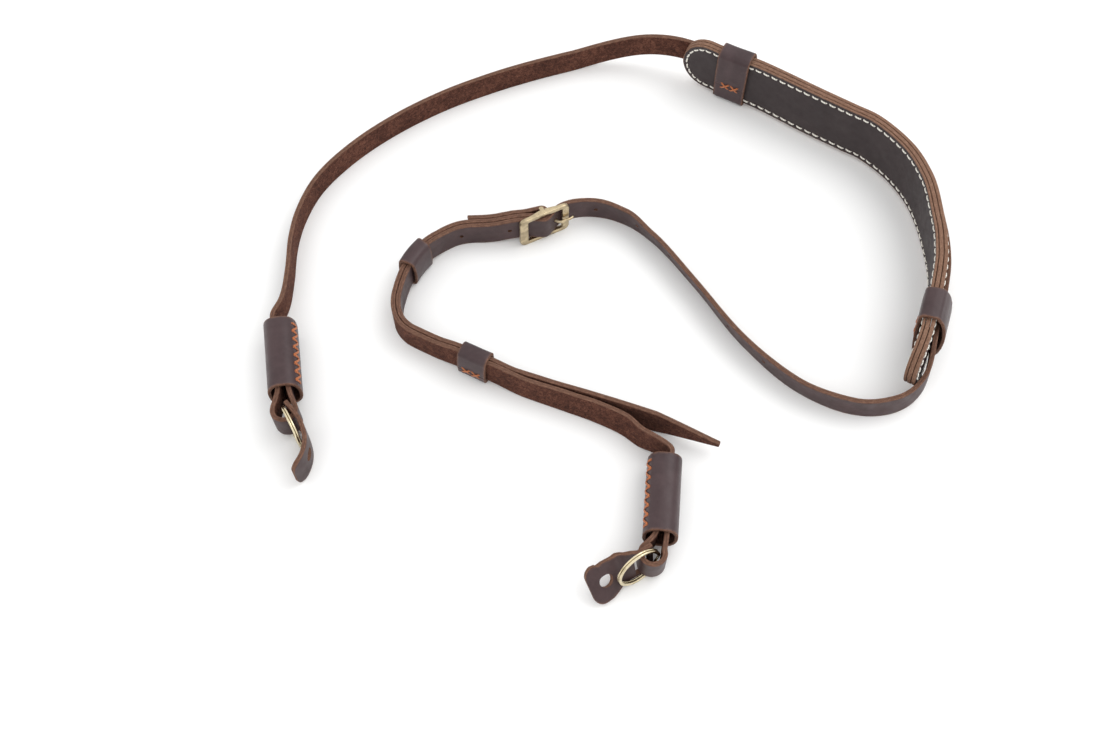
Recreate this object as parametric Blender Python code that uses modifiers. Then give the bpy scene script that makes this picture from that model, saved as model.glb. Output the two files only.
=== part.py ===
"""Leather shoulder strap for a camera, lying on a table in an open loop.

Both straps, the pad and the loops that hold them stand on their narrow edges.
Every piece takes its place from the plan route of the main strap: a smooth
curve through the rows of MAIN_ROUTE. A place along a route is an arc length.
Across a route, "aside" is measured to the left of the way it runs, and
"height" from the lower edge of the strap.
"""
import math
from bisect import bisect_right

import bmesh
import bpy
from mathutils import Matrix, Vector

MM = 0.001
UP = Vector((0.0, 0.0, 1.0))

# Plan reach of the whole strap as it lies
LOOP_WIDTH = 310 * MM
LOOP_DEPTH = 300 * MM

# Clearances
FIT_GAP = 0.3 * MM
LAYER_GAP = 0.25 * MM
SEAM_GAP = 0.3 * MM

# Straps
STRAP_WIDTH = 13.5 * MM
STRAP_THICKNESS = 2.1 * MM
TAIL_TAPER = 29.5 * MM
TAIL_TIP = 2.2 * MM
FOLD_BACK = 38 * MM
FOLD_BACK_SLANT = 5 * MM
KNOT_STRIDE = 5 * MM
HOLE_DIAMETER = 2.0 * MM
HOLE_PITCH = 23 * MM
HOLES_BEFORE = 6
HOLES_AFTER = 2

# Shoulder pad
PAD_WIDTH = 29 * MM
PAD_LENGTH = 253 * MM
PAD_FRONT = 1.2 * MM
PAD_CORE = 1.9 * MM
PAD_BACK = 1.7 * MM
PAD_END_TURN = math.radians(16)
PAD_RISE_RUN = 62 * MM
PAD_FALL_RUN = 30 * MM

# Loops that hold the straps
KEEPER_WALL = 1.5 * MM
KEEPER_ROUND = 0.5 * MM
KEEPER_ROOM = 0.45 * MM
PAD_KEEPER_LENGTH = 16 * MM
PAD_KEEPER_ROOM = 0.8 * MM
PAD_KEEPER_BACK_ROUND = 4.5 * MM
LEFT_KEEPER_INSET = 20 * MM
RIGHT_KEEPER_INSET = 24 * MM
PAD_KEEPER_SEAM = 0.66
STRAP_KEEPER_LENGTH = 14 * MM
STRAP_KEEPER_SEAM = 0.72

# Rolled sleeves at both ends
SLEEVE_LENGTH = 35 * MM
SLEEVE_WALL = 1.5 * MM
SLEEVE_ROUNDNESS = 2.6
SLEEVE_WIDE = 1.6
SLEEVE_SEAM = math.radians(25)
LEG_SPREAD = 4.6 * MM
LEG_END_INSET = 4 * MM
FOLD_RADIUS = 4.95 * MM
LOW_BEFORE_SLEEVE = 0.6

# Split rings
RING_WIRE_THICKNESS = 0.9 * MM
RING_WIRE_DEPTH = 1.5 * MM
RING_WIRE_ROUND = 0.25 * MM
RING_COIL_GAP = 0.1 * MM
RING_ROOM = 4.1 * MM
RING_ASIDE_SHARE = 0.6
RING_JOG = math.radians(40)
RING_WIRE_START = math.radians(205)

# Flaps beside the rings
FLAP_LENGTH = 36 * MM
FLAP_MARGIN = 2.25 * MM
FLAP_THICKNESS = 1.9 * MM
FLAP_HOLE_DIAMETER = 6 * MM
FLAP_HOLE_SHARE = 0.68
FLAP_CORNER_SHARE = 0.5
SLOT_ROOM = 3.2 * MM

# Buckle
BUCKLE_LENGTH = 25.5 * MM
BUCKLE_ROOM = 0.65 * MM
BUCKLE_RAIL = 2.1 * MM
BUCKLE_THICKNESS = 2.0 * MM
BUCKLE_LEFT_BAR = 4.2 * MM
BUCKLE_RIGHT_BAR = 3.5 * MM
BUCKLE_BOW = 2.0 * MM
RAIL_SWELL = 1.2 * MM
BUCKLE_CORNER = 3.0 * MM
BUCKLE_EDGE = 0.4 * MM
CENTRE_BAR = 2.2 * MM
TONGUE = 1.6 * MM
TONGUE_OVERHANG = 1.9 * MM
TONGUE_HOLE_SHARE = 0.62
BUCKLE_TURN = math.radians(26.3)
BUCKLE_ACROSS = -0.110
BUCKLE_AWAY = 0.131

# Route of the main strap: shares of LOOP_WIDTH and LOOP_DEPTH from the middle,
# and the lean of the strap to its left, in degrees
MAIN_ROUTE = (
    # name, across, away, lean
    ("sleeve", -0.492, -0.020, 0),
    ("", -0.489, 0.040, 0),
    ("", -0.490, 0.097, 0),
    ("", -0.484, 0.147, 0),
    ("", -0.464, 0.207, 0),
    ("", -0.426, 0.263, 0),
    ("", -0.368, 0.321, 0),
    ("", -0.282, 0.383, 0),
    ("", -0.181, 0.434, 0),
    ("", -0.084, 0.471, -1),
    ("", -0.015, 0.491, -2),
    ("", 0.052, 0.494, -3),
    ("pad", 0.126, 0.473, -3),
    ("", 0.192, 0.435, -3),
    ("", 0.245, 0.405, -1.5),
    ("", 0.322, 0.351, 0),
    ("", 0.373, 0.317, 0),
    ("", 0.411, 0.291, 0),
    ("", 0.455, 0.236, -1),
    ("", 0.479, 0.176, -3),
    ("", 0.488, 0.090, -6),
    ("", 0.486, 0.030, -8),
    ("", 0.472, -0.030, -8.5),
    ("", 0.450, -0.095, -8.5),
    ("", 0.428, -0.159, -6),
    ("", 0.385, -0.187, -3),
    ("", 0.327, -0.187, 3),
    ("", 0.254, -0.149, 10),
    ("", 0.182, -0.069, 15),
    ("", 0.125, 0.024, 18),
    ("", 0.063, 0.113, 17),
    ("", 0.018, 0.152, 8),
    ("", -0.032, 0.167, 2),
    ("buckle", BUCKLE_ACROSS, BUCKLE_AWAY, 0),
    ("", -0.177, 0.118, 0),
    ("", -0.229, 0.116, 0),
    ("", -0.255, 0.105, 0),
    ("upper keeper", -0.298, 0.058, 0),
    ("", -0.321, -0.010, 0),
    ("", -0.316, -0.045, 0),
    ("", -0.303, -0.062, 0),
    ("", -0.281, -0.075, 0),
    ("lower keeper", -0.205, -0.1165, 3),
    ("parting", -0.174, -0.133, 5),
    ("", -0.109, -0.160, 7),
    ("", -0.045, -0.182, 7),
    ("", 0.042, -0.213, 6),
    ("tip", 0.135, -0.251, 4),
)

# Where the buckle strap runs alone, from the parting to the right sleeve
BUCKLE_STRAP_ROUTE = (
    # across, away, lean
    (-0.138, -0.159, 7),
    (-0.072, -0.186, 10),
    (-0.039, -0.200, 12),
    (0.001, -0.221, 13),
    (0.0255, -0.2405, 8),
    (0.0460, -0.2530, 4),
)

# Ends of the straps: the mouth of each sleeve, the way it points, the side of
# its ring (1 is left of that way), the place of the fold from the mouth in
# shares of FOLD_RADIUS, the way the ring lies from the fold, and its lean
# towards the flap
ENDS = {
    # name: across, away, heading, hand, fold_aside, fold_reach, turn, lean
    "left": (-0.472, -0.174, -80.3, 1, -0.06, 2.10, 19.4, 0.0),
    "right": (0.046, -0.395, -95.7, -1, 0.57, 1.76, 51.2, 9.0),
}

# Plan route of each flap from the middle of the fold: shares of FLAP_LENGTH
FLAP_ROUTES = {
    "left": (
        # along the ring, aside from the ring, lean
        (-0.063, 0.057, 0),
        (0.010, 0.071, 0),
        (0.119, 0.093, 0),
        (0.248, 0.107, 0),
        (0.375, 0.095, 0),
        (0.499, 0.063, 0),
        (0.605, 0.002, 0),
        (0.698, -0.088, 0),
        (0.779, -0.223, 0),
    ),
    "right": (
        # along the ring, aside from the ring, lean
        (-0.025, -0.005, -9),
        (0.060, -0.005, -9),
        (0.160, -0.005, -10),
        (0.278, 0.000, -17),
        (0.350, -0.004, -26),
        (0.444, -0.038, -35),
        (0.556, -0.081, -41),
        (0.667, -0.092, -45),
        (0.790, -0.092, -46),
    ),
}

# Colours are linear red, green and blue
MATERIALS = {
    # name: colour, roughness, metallic
    "main_strap": ((0.075, 0.032, 0.024), 0.60, 0.0),
    "buckle_strap": ((0.085, 0.036, 0.026), 0.62, 0.0),
    "pad_front": ((0.045, 0.036, 0.038), 0.50, 0.0),
    "pad_core": ((0.130, 0.065, 0.045), 0.80, 0.0),
    "pad_back": ((0.160, 0.085, 0.055), 0.80, 0.0),
    "keeper": ((0.070, 0.048, 0.052), 0.45, 0.0),
    "sleeve": ((0.072, 0.050, 0.055), 0.45, 0.0),
    "flap": ((0.095, 0.045, 0.038), 0.55, 0.0),
    "ring": ((0.520, 0.420, 0.260), 0.32, 1.0),
    "frame": ((0.480, 0.380, 0.240), 0.38, 1.0),
    "tongue": ((0.500, 0.400, 0.250), 0.36, 1.0),
}

# Sizes that follow from those above
HALF_STRAP = STRAP_WIDTH / 2
PAIR_STEP = STRAP_THICKNESS + LAYER_GAP
PAD_BELOW = (PAD_WIDTH - STRAP_WIDTH) / 2
PAD_THICKNESS = PAD_FRONT + PAD_CORE + PAD_BACK + 2 * LAYER_GAP
KEEPER_LIFT = KEEPER_WALL + KEEPER_ROOM
LEG_OUTSIDE = (LEG_SPREAD + STRAP_THICKNESS) / 2 + FIT_GAP
SLEEVE_HALF_WIDTH = LEG_OUTSIDE * SLEEVE_WIDE
SLEEVE_TALL = (1 - SLEEVE_WIDE ** -SLEEVE_ROUNDNESS) ** (-1 / SLEEVE_ROUNDNESS)
SLEEVE_HALF_HEIGHT = (HALF_STRAP + FIT_GAP / 2) * SLEEVE_TALL
SLEEVE_MIDDLE = SLEEVE_HALF_HEIGHT + SLEEVE_WALL
SLEEVE_LIFT = SLEEVE_MIDDLE - HALF_STRAP
BUCKLE_HEIGHT = STRAP_WIDTH + 2 * (BUCKLE_ROOM + BUCKLE_RAIL)
BUCKLE_LIFT = (BUCKLE_HEIGHT - STRAP_WIDTH) / 2
RING_INSIDE = STRAP_WIDTH + RING_ROOM
RING_OUTSIDE = RING_INSIDE + 2 * RING_WIRE_DEPTH
RING_PITCH = RING_WIRE_THICKNESS + RING_COIL_GAP
FLAP_HEIGHT = STRAP_WIDTH + 2 * FLAP_MARGIN

# Fineness of the faceted shapes
DENSE_STEP = 0.5 * MM
LONGEST_STEP = 6 * MM
LARGEST_TURN = math.radians(7)
PAD_END_ANGLES = (8, 20, 34, 48, 62, 76)
FLAP_END_ANGLES = (0, 25, 45, 60, 75)
RING_STEPS = 32
EYE_STEPS = 8
TONGUE_CROSSING = EYE_STEPS + 1

# Length over which a strap rises to a lift, for each unit of the lift
LIFT_EASING = 7


def clear_scene():
    for item in list(bpy.data.objects):
        bpy.data.objects.remove(item, do_unlink=True)


def new_collection(name):
    collection = bpy.data.collections.new(name)
    bpy.context.scene.collection.children.link(collection)
    return collection


def make_materials():
    made = {}
    for name, (colour, roughness, metallic) in MATERIALS.items():
        material = bpy.data.materials.new(name)
        material.use_nodes = True
        shader = material.node_tree.nodes["Principled BSDF"]
        shader.inputs["Base Color"].default_value = (*colour, 1.0)
        shader.inputs["Roughness"].default_value = roughness
        shader.inputs["Metallic"].default_value = metallic
        material.diffuse_color = (*colour, 1.0)
        made[name] = material
    return made


def ease(share):
    """Smooth step from 0 to 1."""
    share = min(max(share, 0.0), 1.0)
    return share * share * (3 - 2 * share)


def plan_point(across, away):
    return Vector((across * LOOP_WIDTH, away * LOOP_DEPTH, 0.0))


def left_of(ahead):
    return Vector((-ahead.y, ahead.x, 0.0))


def smooth_line(knots):
    """Dense points on the centripetal curve through the knots, and each knot's index."""
    ends = [knots[0] * 2 - knots[1], *knots, knots[-1] * 2 - knots[-2]]
    points = [knots[0].copy()]
    at_knot = [0]
    for index in range(1, len(ends) - 2):
        four = ends[index - 1:index + 3]
        times = [0.0]
        for first, second in zip(four, four[1:]):
            times.append(times[-1] + math.sqrt((second - first).length))
        count = max(2, math.ceil((four[2] - four[1]).length / DENSE_STEP))
        for step in range(1, count + 1):
            time = times[1] + (times[2] - times[1]) * step / count
            level = list(four)
            for width in (1, 2, 3):
                # The last two levels share the middle span, as this curve's rule asks
                reach = min(width, 2)
                for place in range(4 - width):
                    start = times[place] if width < 3 else times[1]
                    end = times[place + reach] if width < 3 else times[2]
                    share = (time - start) / (end - start)
                    level[place] = level[place].lerp(level[place + 1], share)
            points.append(level[0])
        at_knot.append(len(points) - 1)
    return points, at_knot


class Route:
    """A smooth plan line with a lean and a lift at each arc length."""

    def __init__(self, knots, leans, lifts=None):
        self.points, at_knot = smooth_line(knots)
        self.lengths = [0.0]
        for first, second in zip(self.points, self.points[1:]):
            self.lengths.append(self.lengths[-1] + (second - first).length)
        self.knots = [self.lengths[index] for index in at_knot]
        self.leans = leans
        self.lifts = lifts
        self.holds = []
        self.set_stations()

    @property
    def length(self):
        return self.lengths[-1]

    def span(self, place):
        index = bisect_right(self.lengths, place) - 1
        return min(max(index, 0), len(self.lengths) - 2)

    def point(self, place):
        index = self.span(place)
        run = self.lengths[index + 1] - self.lengths[index]
        share = (place - self.lengths[index]) / run
        return self.points[index].lerp(self.points[index + 1], share)

    def ahead(self, place):
        index = self.span(place)
        behind = self.points[max(index - 1, 0)]
        before = self.points[min(index + 2, len(self.points) - 1)]
        return (before - behind).normalized()

    def between_knots(self, values, place):
        index = min(max(bisect_right(self.knots, place) - 1, 0), len(self.knots) - 2)
        run = self.knots[index + 1] - self.knots[index]
        share = ease((place - self.knots[index]) / run)
        return values[index] + (values[index + 1] - values[index]) * share

    def lean(self, place):
        return math.radians(self.between_knots(self.leans, place))

    def hold(self, start, end, lift, run_in, run_out):
        """Keep the strap at this lift from start to end, easing in and out."""
        self.holds.append((start, end, lift, run_in, run_out))

    def lift(self, place):
        if self.lifts:
            return self.between_knots(self.lifts, place)
        highest = 0.0
        for start, end, lift, run_in, run_out in self.holds:
            share = 1.0
            if place < start:
                share = ease(1 - (start - place) / run_in)
            elif place > end:
                share = ease(1 - (place - end) / run_out)
            highest = max(highest, lift(place) * share if callable(lift) else lift * share)
        return max(highest, STRAP_THICKNESS / 2 * math.sin(abs(self.lean(place))))

    def frame(self, place):
        """Foot of the cross-section, its direction aside and its direction up."""
        aside = left_of(self.ahead(place))
        lean = self.lean(place)
        foot = self.point(place) + UP * self.lift(place)
        return foot, aside * math.cos(lean) - UP * math.sin(lean), UP * math.cos(lean) + aside * math.sin(lean)

    def set_stations(self):
        """Places for cross-sections, closer together where the route bends."""
        self.shared = [0.0]
        heading = self.ahead(0.0)
        for place in self.lengths:
            ahead = self.ahead(place)
            if place - self.shared[-1] >= LONGEST_STEP or heading.angle(ahead) >= LARGEST_TURN:
                self.shared.append(place)
                heading = ahead

    def stations(self, start, end, extra=()):
        """The shared places from start to end, with both ends and any extra ones."""
        inside = [place for place in (*self.shared, *extra) if start < place < end]
        kept = [start]
        for place in sorted(inside):
            if place - kept[-1] > DENSE_STEP and end - place > DENSE_STEP:
                kept.append(place)
        return [*kept, end]


def object_from_rows(name, rows, collection, material):
    """Open surface through rows of points, one row for each cross-section."""
    shape = bmesh.new()
    grid = [[shape.verts.new(point) for point in row] for row in rows]
    for here, there in zip(grid, grid[1:]):
        for column in range(len(here) - 1):
            corners = (here[column], here[column + 1], there[column + 1], there[column])
            shape.faces.new(corners)
    mesh = bpy.data.meshes.new(name)
    shape.to_mesh(mesh)
    shape.free()
    mesh.materials.append(material)
    made = bpy.data.objects.new(name, mesh)
    collection.objects.link(made)
    return made


def thicken(item, thickness, offset):
    solid = item.modifiers.new("thickness", "SOLIDIFY")
    solid.thickness = thickness
    solid.offset = offset
    solid.use_even_offset = True
    solid.use_quality_normals = True


def shade_round(item, degrees=35):
    item.data.shade_smooth()
    item.data.set_sharp_from_angle(angle=math.radians(degrees))


def cut(item, cutter):
    """Cut a hole. The first cut turns leaning faces into flat triangles beforehand."""
    if "flat faces" not in item.modifiers:
        item.modifiers.new("flat faces", "TRIANGULATE")
    boolean = item.modifiers.new("cut " + cutter.name, "BOOLEAN")
    boolean.operation = "DIFFERENCE"
    boolean.solver = "EXACT"
    boolean.object = cutter


def unite(item, other):
    boolean = item.modifiers.new("unite " + other.name, "BOOLEAN")
    boolean.operation = "UNION"
    boolean.solver = "EXACT"
    boolean.object = other


def rail_swell(east):
    """How far the buckle's rails reach back past its end bars."""
    middle = (Buckle.left_edge + Buckle.right_edge) / 2
    share = min(abs(east - middle) / (Buckle.right_edge - Buckle.left_edge) * 2, 1.0)
    return RAIL_SWELL * (1 + math.cos(math.pi * share)) / 2


def as_cutter(item, collection):
    for holder in list(item.users_collection):
        holder.objects.unlink(item)
    collection.objects.link(item)
    item.hide_render = True
    item.display_type = "WIRE"
    return item


def basis(along, up):
    """Turning that carries X to the first direction and keeps Z nearest the second."""
    side = up.cross(along).normalized()
    over = along.cross(side).normalized()
    return Matrix((along, side, over)).transposed().to_4x4()


def cylinder_cutter(name, centre, axis, diameter, length, collection):
    bpy.ops.mesh.primitive_cylinder_add(vertices=12, radius=diameter / 2, depth=length)
    cutter = bpy.context.object
    cutter.name = name
    turn = UP.rotation_difference(axis).to_matrix().to_4x4()
    cutter.matrix_world = Matrix.Translation(centre) @ turn
    return as_cutter(cutter, collection)


def box_cutter(name, centre, along, size, collection):
    bpy.ops.mesh.primitive_cube_add(size=1)
    cutter = bpy.context.object
    cutter.name = name
    cutter.data.transform(Matrix.Diagonal((*size, 1.0)))
    cutter.matrix_world = Matrix.Translation(centre) @ basis(along, UP)
    return as_cutter(cutter, collection)


class Buckle:
    """Place of the buckle: its own east and front directions on the plan."""

    middle = plan_point(BUCKLE_ACROSS, BUCKLE_AWAY)
    east = Vector((math.cos(BUCKLE_TURN), math.sin(BUCKLE_TURN), 0.0))
    front = Vector((math.sin(BUCKLE_TURN), -math.cos(BUCKLE_TURN), 0.0))
    left_edge = -BUCKLE_LENGTH / 2 + BUCKLE_LEFT_BAR
    right_edge = BUCKLE_LENGTH / 2 - BUCKLE_RIGHT_BAR
    behind_bars = -(FIT_GAP + STRAP_THICKNESS / 2)
    wrap_radius = CENTRE_BAR / 2 + FIT_GAP + STRAP_THICKNESS / 2
    before_bar = -BUCKLE_BOW + wrap_radius + PAIR_STEP

    @classmethod
    def place(cls, east, front, height=0.0):
        return cls.middle + cls.east * east + cls.front * front + UP * height

    @classmethod
    def strap_points(cls):
        """Main strap: behind one end bar, before the centre bar, behind the other."""
        half_way = (cls.behind_bars + cls.before_bar) / 2
        return (
            cls.place(cls.right_edge, cls.behind_bars),
            cls.place(cls.right_edge / 2, half_way),
            cls.place(0.0, cls.before_bar),
            cls.place(cls.left_edge / 2, half_way),
            cls.place(cls.left_edge, cls.behind_bars),
        )


class End:
    """Place of a sleeve, its fold and its ring."""

    def __init__(self, name):
        across, away, heading, self.hand, fold_aside, fold_reach, ring_turn, lean = ENDS[name]
        angle = math.radians(heading)
        self.mouth = plan_point(across, away)
        self.ahead = Vector((math.cos(angle), math.sin(angle), 0.0))
        self.to_ring = left_of(self.ahead) * self.hand
        self.fold = self.place(fold_aside * FOLD_RADIUS, fold_reach * FOLD_RADIUS)
        turn = math.radians(ring_turn)
        self.ring_way = self.ahead * math.cos(turn) + self.to_ring * math.sin(turn)
        self.flap_side = self.to_ring * math.cos(turn) - self.ahead * math.sin(turn)
        tilt = math.radians(lean)
        self.ring_up = UP * math.cos(tilt) + self.flap_side * math.sin(tilt)
        self.ring_side = self.flap_side * math.cos(tilt) - UP * math.sin(tilt)

    def place(self, aside, reach):
        return self.mouth + self.to_ring * aside + self.ahead * reach

    def leg(self, side):
        """Points of one leg inside the sleeve, from its far end to its mouth."""
        reaches = (LEG_END_INSET - SLEEVE_LENGTH, -SLEEVE_LENGTH / 2, 0.0)
        if side < 0:
            reaches = (-SLEEVE_LENGTH - 1.5 * STRAP_THICKNESS, 0.5 * STRAP_THICKNESS - SLEEVE_LENGTH, 0.0)
        return [self.place(side * LEG_SPREAD / 2, reach) for reach in reaches]

    def fold_points(self):
        """Open round fold, from the main leg's side to the short leg's side."""
        steps = 10
        points = []
        for step in range(steps + 1):
            angle = math.radians(200 - 220 * step / steps)
            aside = self.to_ring * math.cos(angle) * FOLD_RADIUS
            points.append(self.fold + aside + self.ahead * math.sin(angle) * FOLD_RADIUS)
        return points

    def knots(self):
        """From the far end of the main leg, round the fold, to the short leg's end."""
        return self.leg(-1) + self.fold_points() + list(reversed(self.leg(1)))

    def ring_centre(self):
        """The ring stands on its rim, and the fold passes just inside its wire."""
        level = self.ring_up.z * RING_OUTSIDE / 2
        tall = (HALF_STRAP + abs(level - SLEEVE_MIDDLE)) / self.ring_up.z + FIT_GAP
        half_chord = math.sqrt((RING_INSIDE / 2) ** 2 - tall ** 2)
        bulge = (tall * self.ring_side.z) ** 2 / (2 * FOLD_RADIUS)
        reach = FOLD_RADIUS + half_chord - STRAP_THICKNESS / 2 - 2 * FIT_GAP - bulge
        clear_of_flap = self.flap_side * (RING_ASIDE_SHARE * HALF_STRAP * self.flap_side.dot(self.ring_up))
        return self.fold + self.ring_way * reach - clear_of_flap + UP * level


def main_route(end):
    """The main strap from its short leg in the left sleeve to its tip."""
    knots = list(reversed(end.knots()))
    leans = [0.0] * len(knots)
    names = {}
    for name, across, away, lean in MAIN_ROUTE:
        if name == "buckle":
            knots.extend(Buckle.strap_points())
            leans.extend([lean] * len(Buckle.strap_points()))
            names[name] = len(knots) - 3
        else:
            knots.append(plan_point(across, away))
            leans.append(lean)
            names[name] = len(knots) - 1
    route = Route(knots, leans)
    marks = {name: route.knots[index] for name, index in names.items() if name}
    marks["sleeve end"] = route.knots[len(end.knots()) - 1]
    marks["pad end"] = marks["pad"] + PAD_LENGTH
    marks["left pad keeper"] = marks["pad"] + LEFT_KEEPER_INSET + PAD_KEEPER_LENGTH / 2
    marks["right pad keeper"] = marks["pad end"] - RIGHT_KEEPER_INSET - PAD_KEEPER_LENGTH / 2
    lift_along(route, marks)
    return route, marks


def lift_beside_pad(route):
    """Lift of the strap beside the pad, whose loops rest on the table, leaning or not."""
    before = STRAP_THICKNESS / 2 + LAYER_GAP + PAD_THICKNESS + KEEPER_LIFT
    behind = STRAP_THICKNESS / 2 + PAD_KEEPER_ROOM + KEEPER_LIFT

    def lift(place):
        lean = route.lean(place)
        stack = behind if lean > 0 else before
        return KEEPER_LIFT + stack * math.sin(abs(lean)) + PAD_BELOW * math.cos(lean)

    return lift


def pad_frame(route, place):
    """The pad reaches below and above the strap it is held to."""
    foot, aside, up = route.frame(place)
    return foot - up * PAD_BELOW, aside, up


def lift_along(route, marks):
    keep = STRAP_KEEPER_LENGTH / 2
    last_hold = marks["right pad keeper"] + PAD_KEEPER_LENGTH / 2
    route.hold(0.0, marks["sleeve end"], SLEEVE_LIFT, SLEEVE_LIFT, SLEEVE_LIFT * LIFT_EASING)
    route.hold(marks["pad"], last_hold, lift_beside_pad(route), PAD_RISE_RUN, PAD_FALL_RUN)
    half = BUCKLE_LENGTH / 2
    run = BUCKLE_LIFT * LIFT_EASING
    route.hold(marks["buckle"] - half, marks["buckle"] + half, BUCKLE_LIFT, run, run)
    for name in ("upper keeper", "lower keeper"):
        run = KEEPER_LIFT * LIFT_EASING
        route.hold(marks[name] - keep, marks[name] + keep, KEEPER_LIFT, run, run)


def buckle_route(main, marks, end):
    """The short strap: folded end, buckle bar, beside the main strap, right sleeve."""
    wrap = []
    steps = 6
    for step in range(steps + 1):
        angle = math.radians(-90 + 180 * step / steps)
        east = Buckle.wrap_radius * math.cos(angle)
        front = -BUCKLE_BOW + Buckle.wrap_radius * math.sin(angle)
        wrap.append(Buckle.place(east, front))
    shared = []
    place = marks["buckle"]
    while place < marks["parting"] - KNOT_STRIDE:
        place += KNOT_STRIDE
        shared.append(place)
    fold_places = [place for place in shared if place - marks["buckle"] < FOLD_BACK]
    knots = []
    leans = []
    lifts = []

    def add(point, lean, lift):
        knots.append(point)
        leans.append(lean)
        lifts.append(lift)

    def add_beside(place, steps_aside):
        foot, aside, up = main.frame(place)
        foot = foot - aside * PAIR_STEP * steps_aside
        add(Vector((foot.x, foot.y, 0.0)), math.degrees(main.lean(place)), foot.z)

    for place in reversed(fold_places[1:]):
        add_beside(place, 2)
    for point in wrap:
        add(point, 0.0, BUCKLE_LIFT)
    wrapped = len(knots) - 1 - steps // 2
    for place in shared:
        add_beside(place, 1)
    for across, away, lean in BUCKLE_STRAP_ROUTE:
        add(plan_point(across, away), lean, STRAP_THICKNESS / 2 * math.sin(math.radians(lean)))
    lifts[-1] = SLEEVE_LIFT * LOW_BEFORE_SLEEVE
    for point in end.knots():
        add(point, 0.0, SLEEVE_LIFT)
    route = Route(knots, leans, lifts)
    return route, route.knots[wrapped]


def strap_edges(route, tail=0.0):
    """Lower and upper edge heights of a strap, narrowing to a point over its tail."""

    def edges(place):
        half = HALF_STRAP
        if route.length - place < tail:
            share = (route.length - place) / tail
            half = TAIL_TIP / 2 + (HALF_STRAP - TAIL_TIP / 2) * share
        return HALF_STRAP - half, HALF_STRAP + half

    return edges


def main_strap(route, marks, collection, cutters, material):
    taper = route.length - TAIL_TAPER
    edges = strap_edges(route, TAIL_TAPER)
    rows = []
    for place in route.stations(0.0, route.length, extra=(taper,)):
        foot, aside, up = route.frame(place)
        rows.append([foot + up * height for height in edges(place)])
    strap = object_from_rows("main_strap", rows, collection, material)
    thicken(strap, STRAP_THICKNESS, 0.0)
    used = tongue_hole(route, marks)
    for number in range(-HOLES_BEFORE, HOLES_AFTER + 1):
        if number == 0:
            continue
        place = used + number * HOLE_PITCH
        foot, aside, up = route.frame(place)
        centre = foot + up * HALF_STRAP
        name = f"strap_hole_{number + HOLES_BEFORE}"
        depth = 3 * STRAP_THICKNESS
        cut(strap, cylinder_cutter(name, centre, aside, HOLE_DIAMETER, depth, cutters))
    points = tongue_points(route, marks)
    crossing = points[TONGUE_CROSSING]
    way = (points[TONGUE_CROSSING + 1] - points[TONGUE_CROSSING - 1]).normalized()
    wide = TONGUE + 3 * FIT_GAP
    cut(strap, cylinder_cutter("tongue_hole", crossing, way, wide, 5 * STRAP_THICKNESS, cutters))
    shade_round(strap)
    return strap


def tongue_hole(route, marks):
    """Place of the hole that the tongue goes through."""
    return marks["buckle"] - Buckle.right_edge * TONGUE_HOLE_SHARE


def tongue_points(route, marks):
    """An eye round the centre bar, then through the strap and over the right bar."""
    height = BUCKLE_HEIGHT / 2
    eye = CENTRE_BAR / 2 + FIT_GAP + TONGUE / 2
    points = []
    for step in range(EYE_STEPS + 1):
        angle = math.radians(300 - 300 * step / EYE_STEPS)
        east = eye * math.cos(angle)
        front = -BUCKLE_BOW + eye * math.sin(angle)
        points.append(Buckle.place(east, front, height))
    hole = route.point(tongue_hole(route, marks)) + UP * height
    over = BUCKLE_THICKNESS + FIT_GAP + TONGUE / 2
    points.append(hole)
    points.append(Buckle.place(Buckle.right_edge - TONGUE, over, height))
    points.append(Buckle.place(Buckle.right_edge + TONGUE / 2, over + FIT_GAP, height))
    points.append(Buckle.place(BUCKLE_LENGTH / 2, over + FIT_GAP, height))
    points.append(Buckle.place(BUCKLE_LENGTH / 2 + TONGUE_OVERHANG, over - FIT_GAP, height))
    return points


def buckle_strap(route, wrapped, collection, cutters, material):
    start = wrapped - FOLD_BACK
    slant = FOLD_BACK_SLANT
    rows = []
    for place in route.stations(start, route.length):
        share = max(0.0, 1 - (place - start) / (2 * slant))
        foot, aside, up = route.frame(place + slant * share)
        low = foot
        foot, aside, up = route.frame(place)
        rows.append([low, foot + up * STRAP_WIDTH])
    strap = object_from_rows("buckle_strap", rows, collection, material)
    thicken(strap, STRAP_THICKNESS, 0.0)
    centre = Buckle.place(0.0, -BUCKLE_BOW, BUCKLE_HEIGHT / 2)
    reach = 2 * (Buckle.wrap_radius + STRAP_THICKNESS)
    size = (reach, reach, TONGUE + 4 * FIT_GAP)
    cut(strap, box_cutter("tongue_slot", centre, Buckle.east, size, cutters))
    shade_round(strap)
    return strap


def pad_end_frame(route, marks, place):
    """Past its last loop the pad goes its own way, bending a little."""
    last = marks["right pad keeper"] + PAD_KEEPER_LENGTH / 2
    if place <= last:
        return pad_frame(route, place)
    foot, aside, up = pad_frame(route, last)
    share = (place - last) / (marks["pad end"] - last)
    swing = Matrix.Rotation(-PAD_END_TURN * share, 3, "Z")
    half_swing = Matrix.Rotation(-PAD_END_TURN * share / 2, 3, "Z")
    foot = foot + half_swing @ route.ahead(last) * (place - last)
    return foot, swing @ aside, swing @ up


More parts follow.
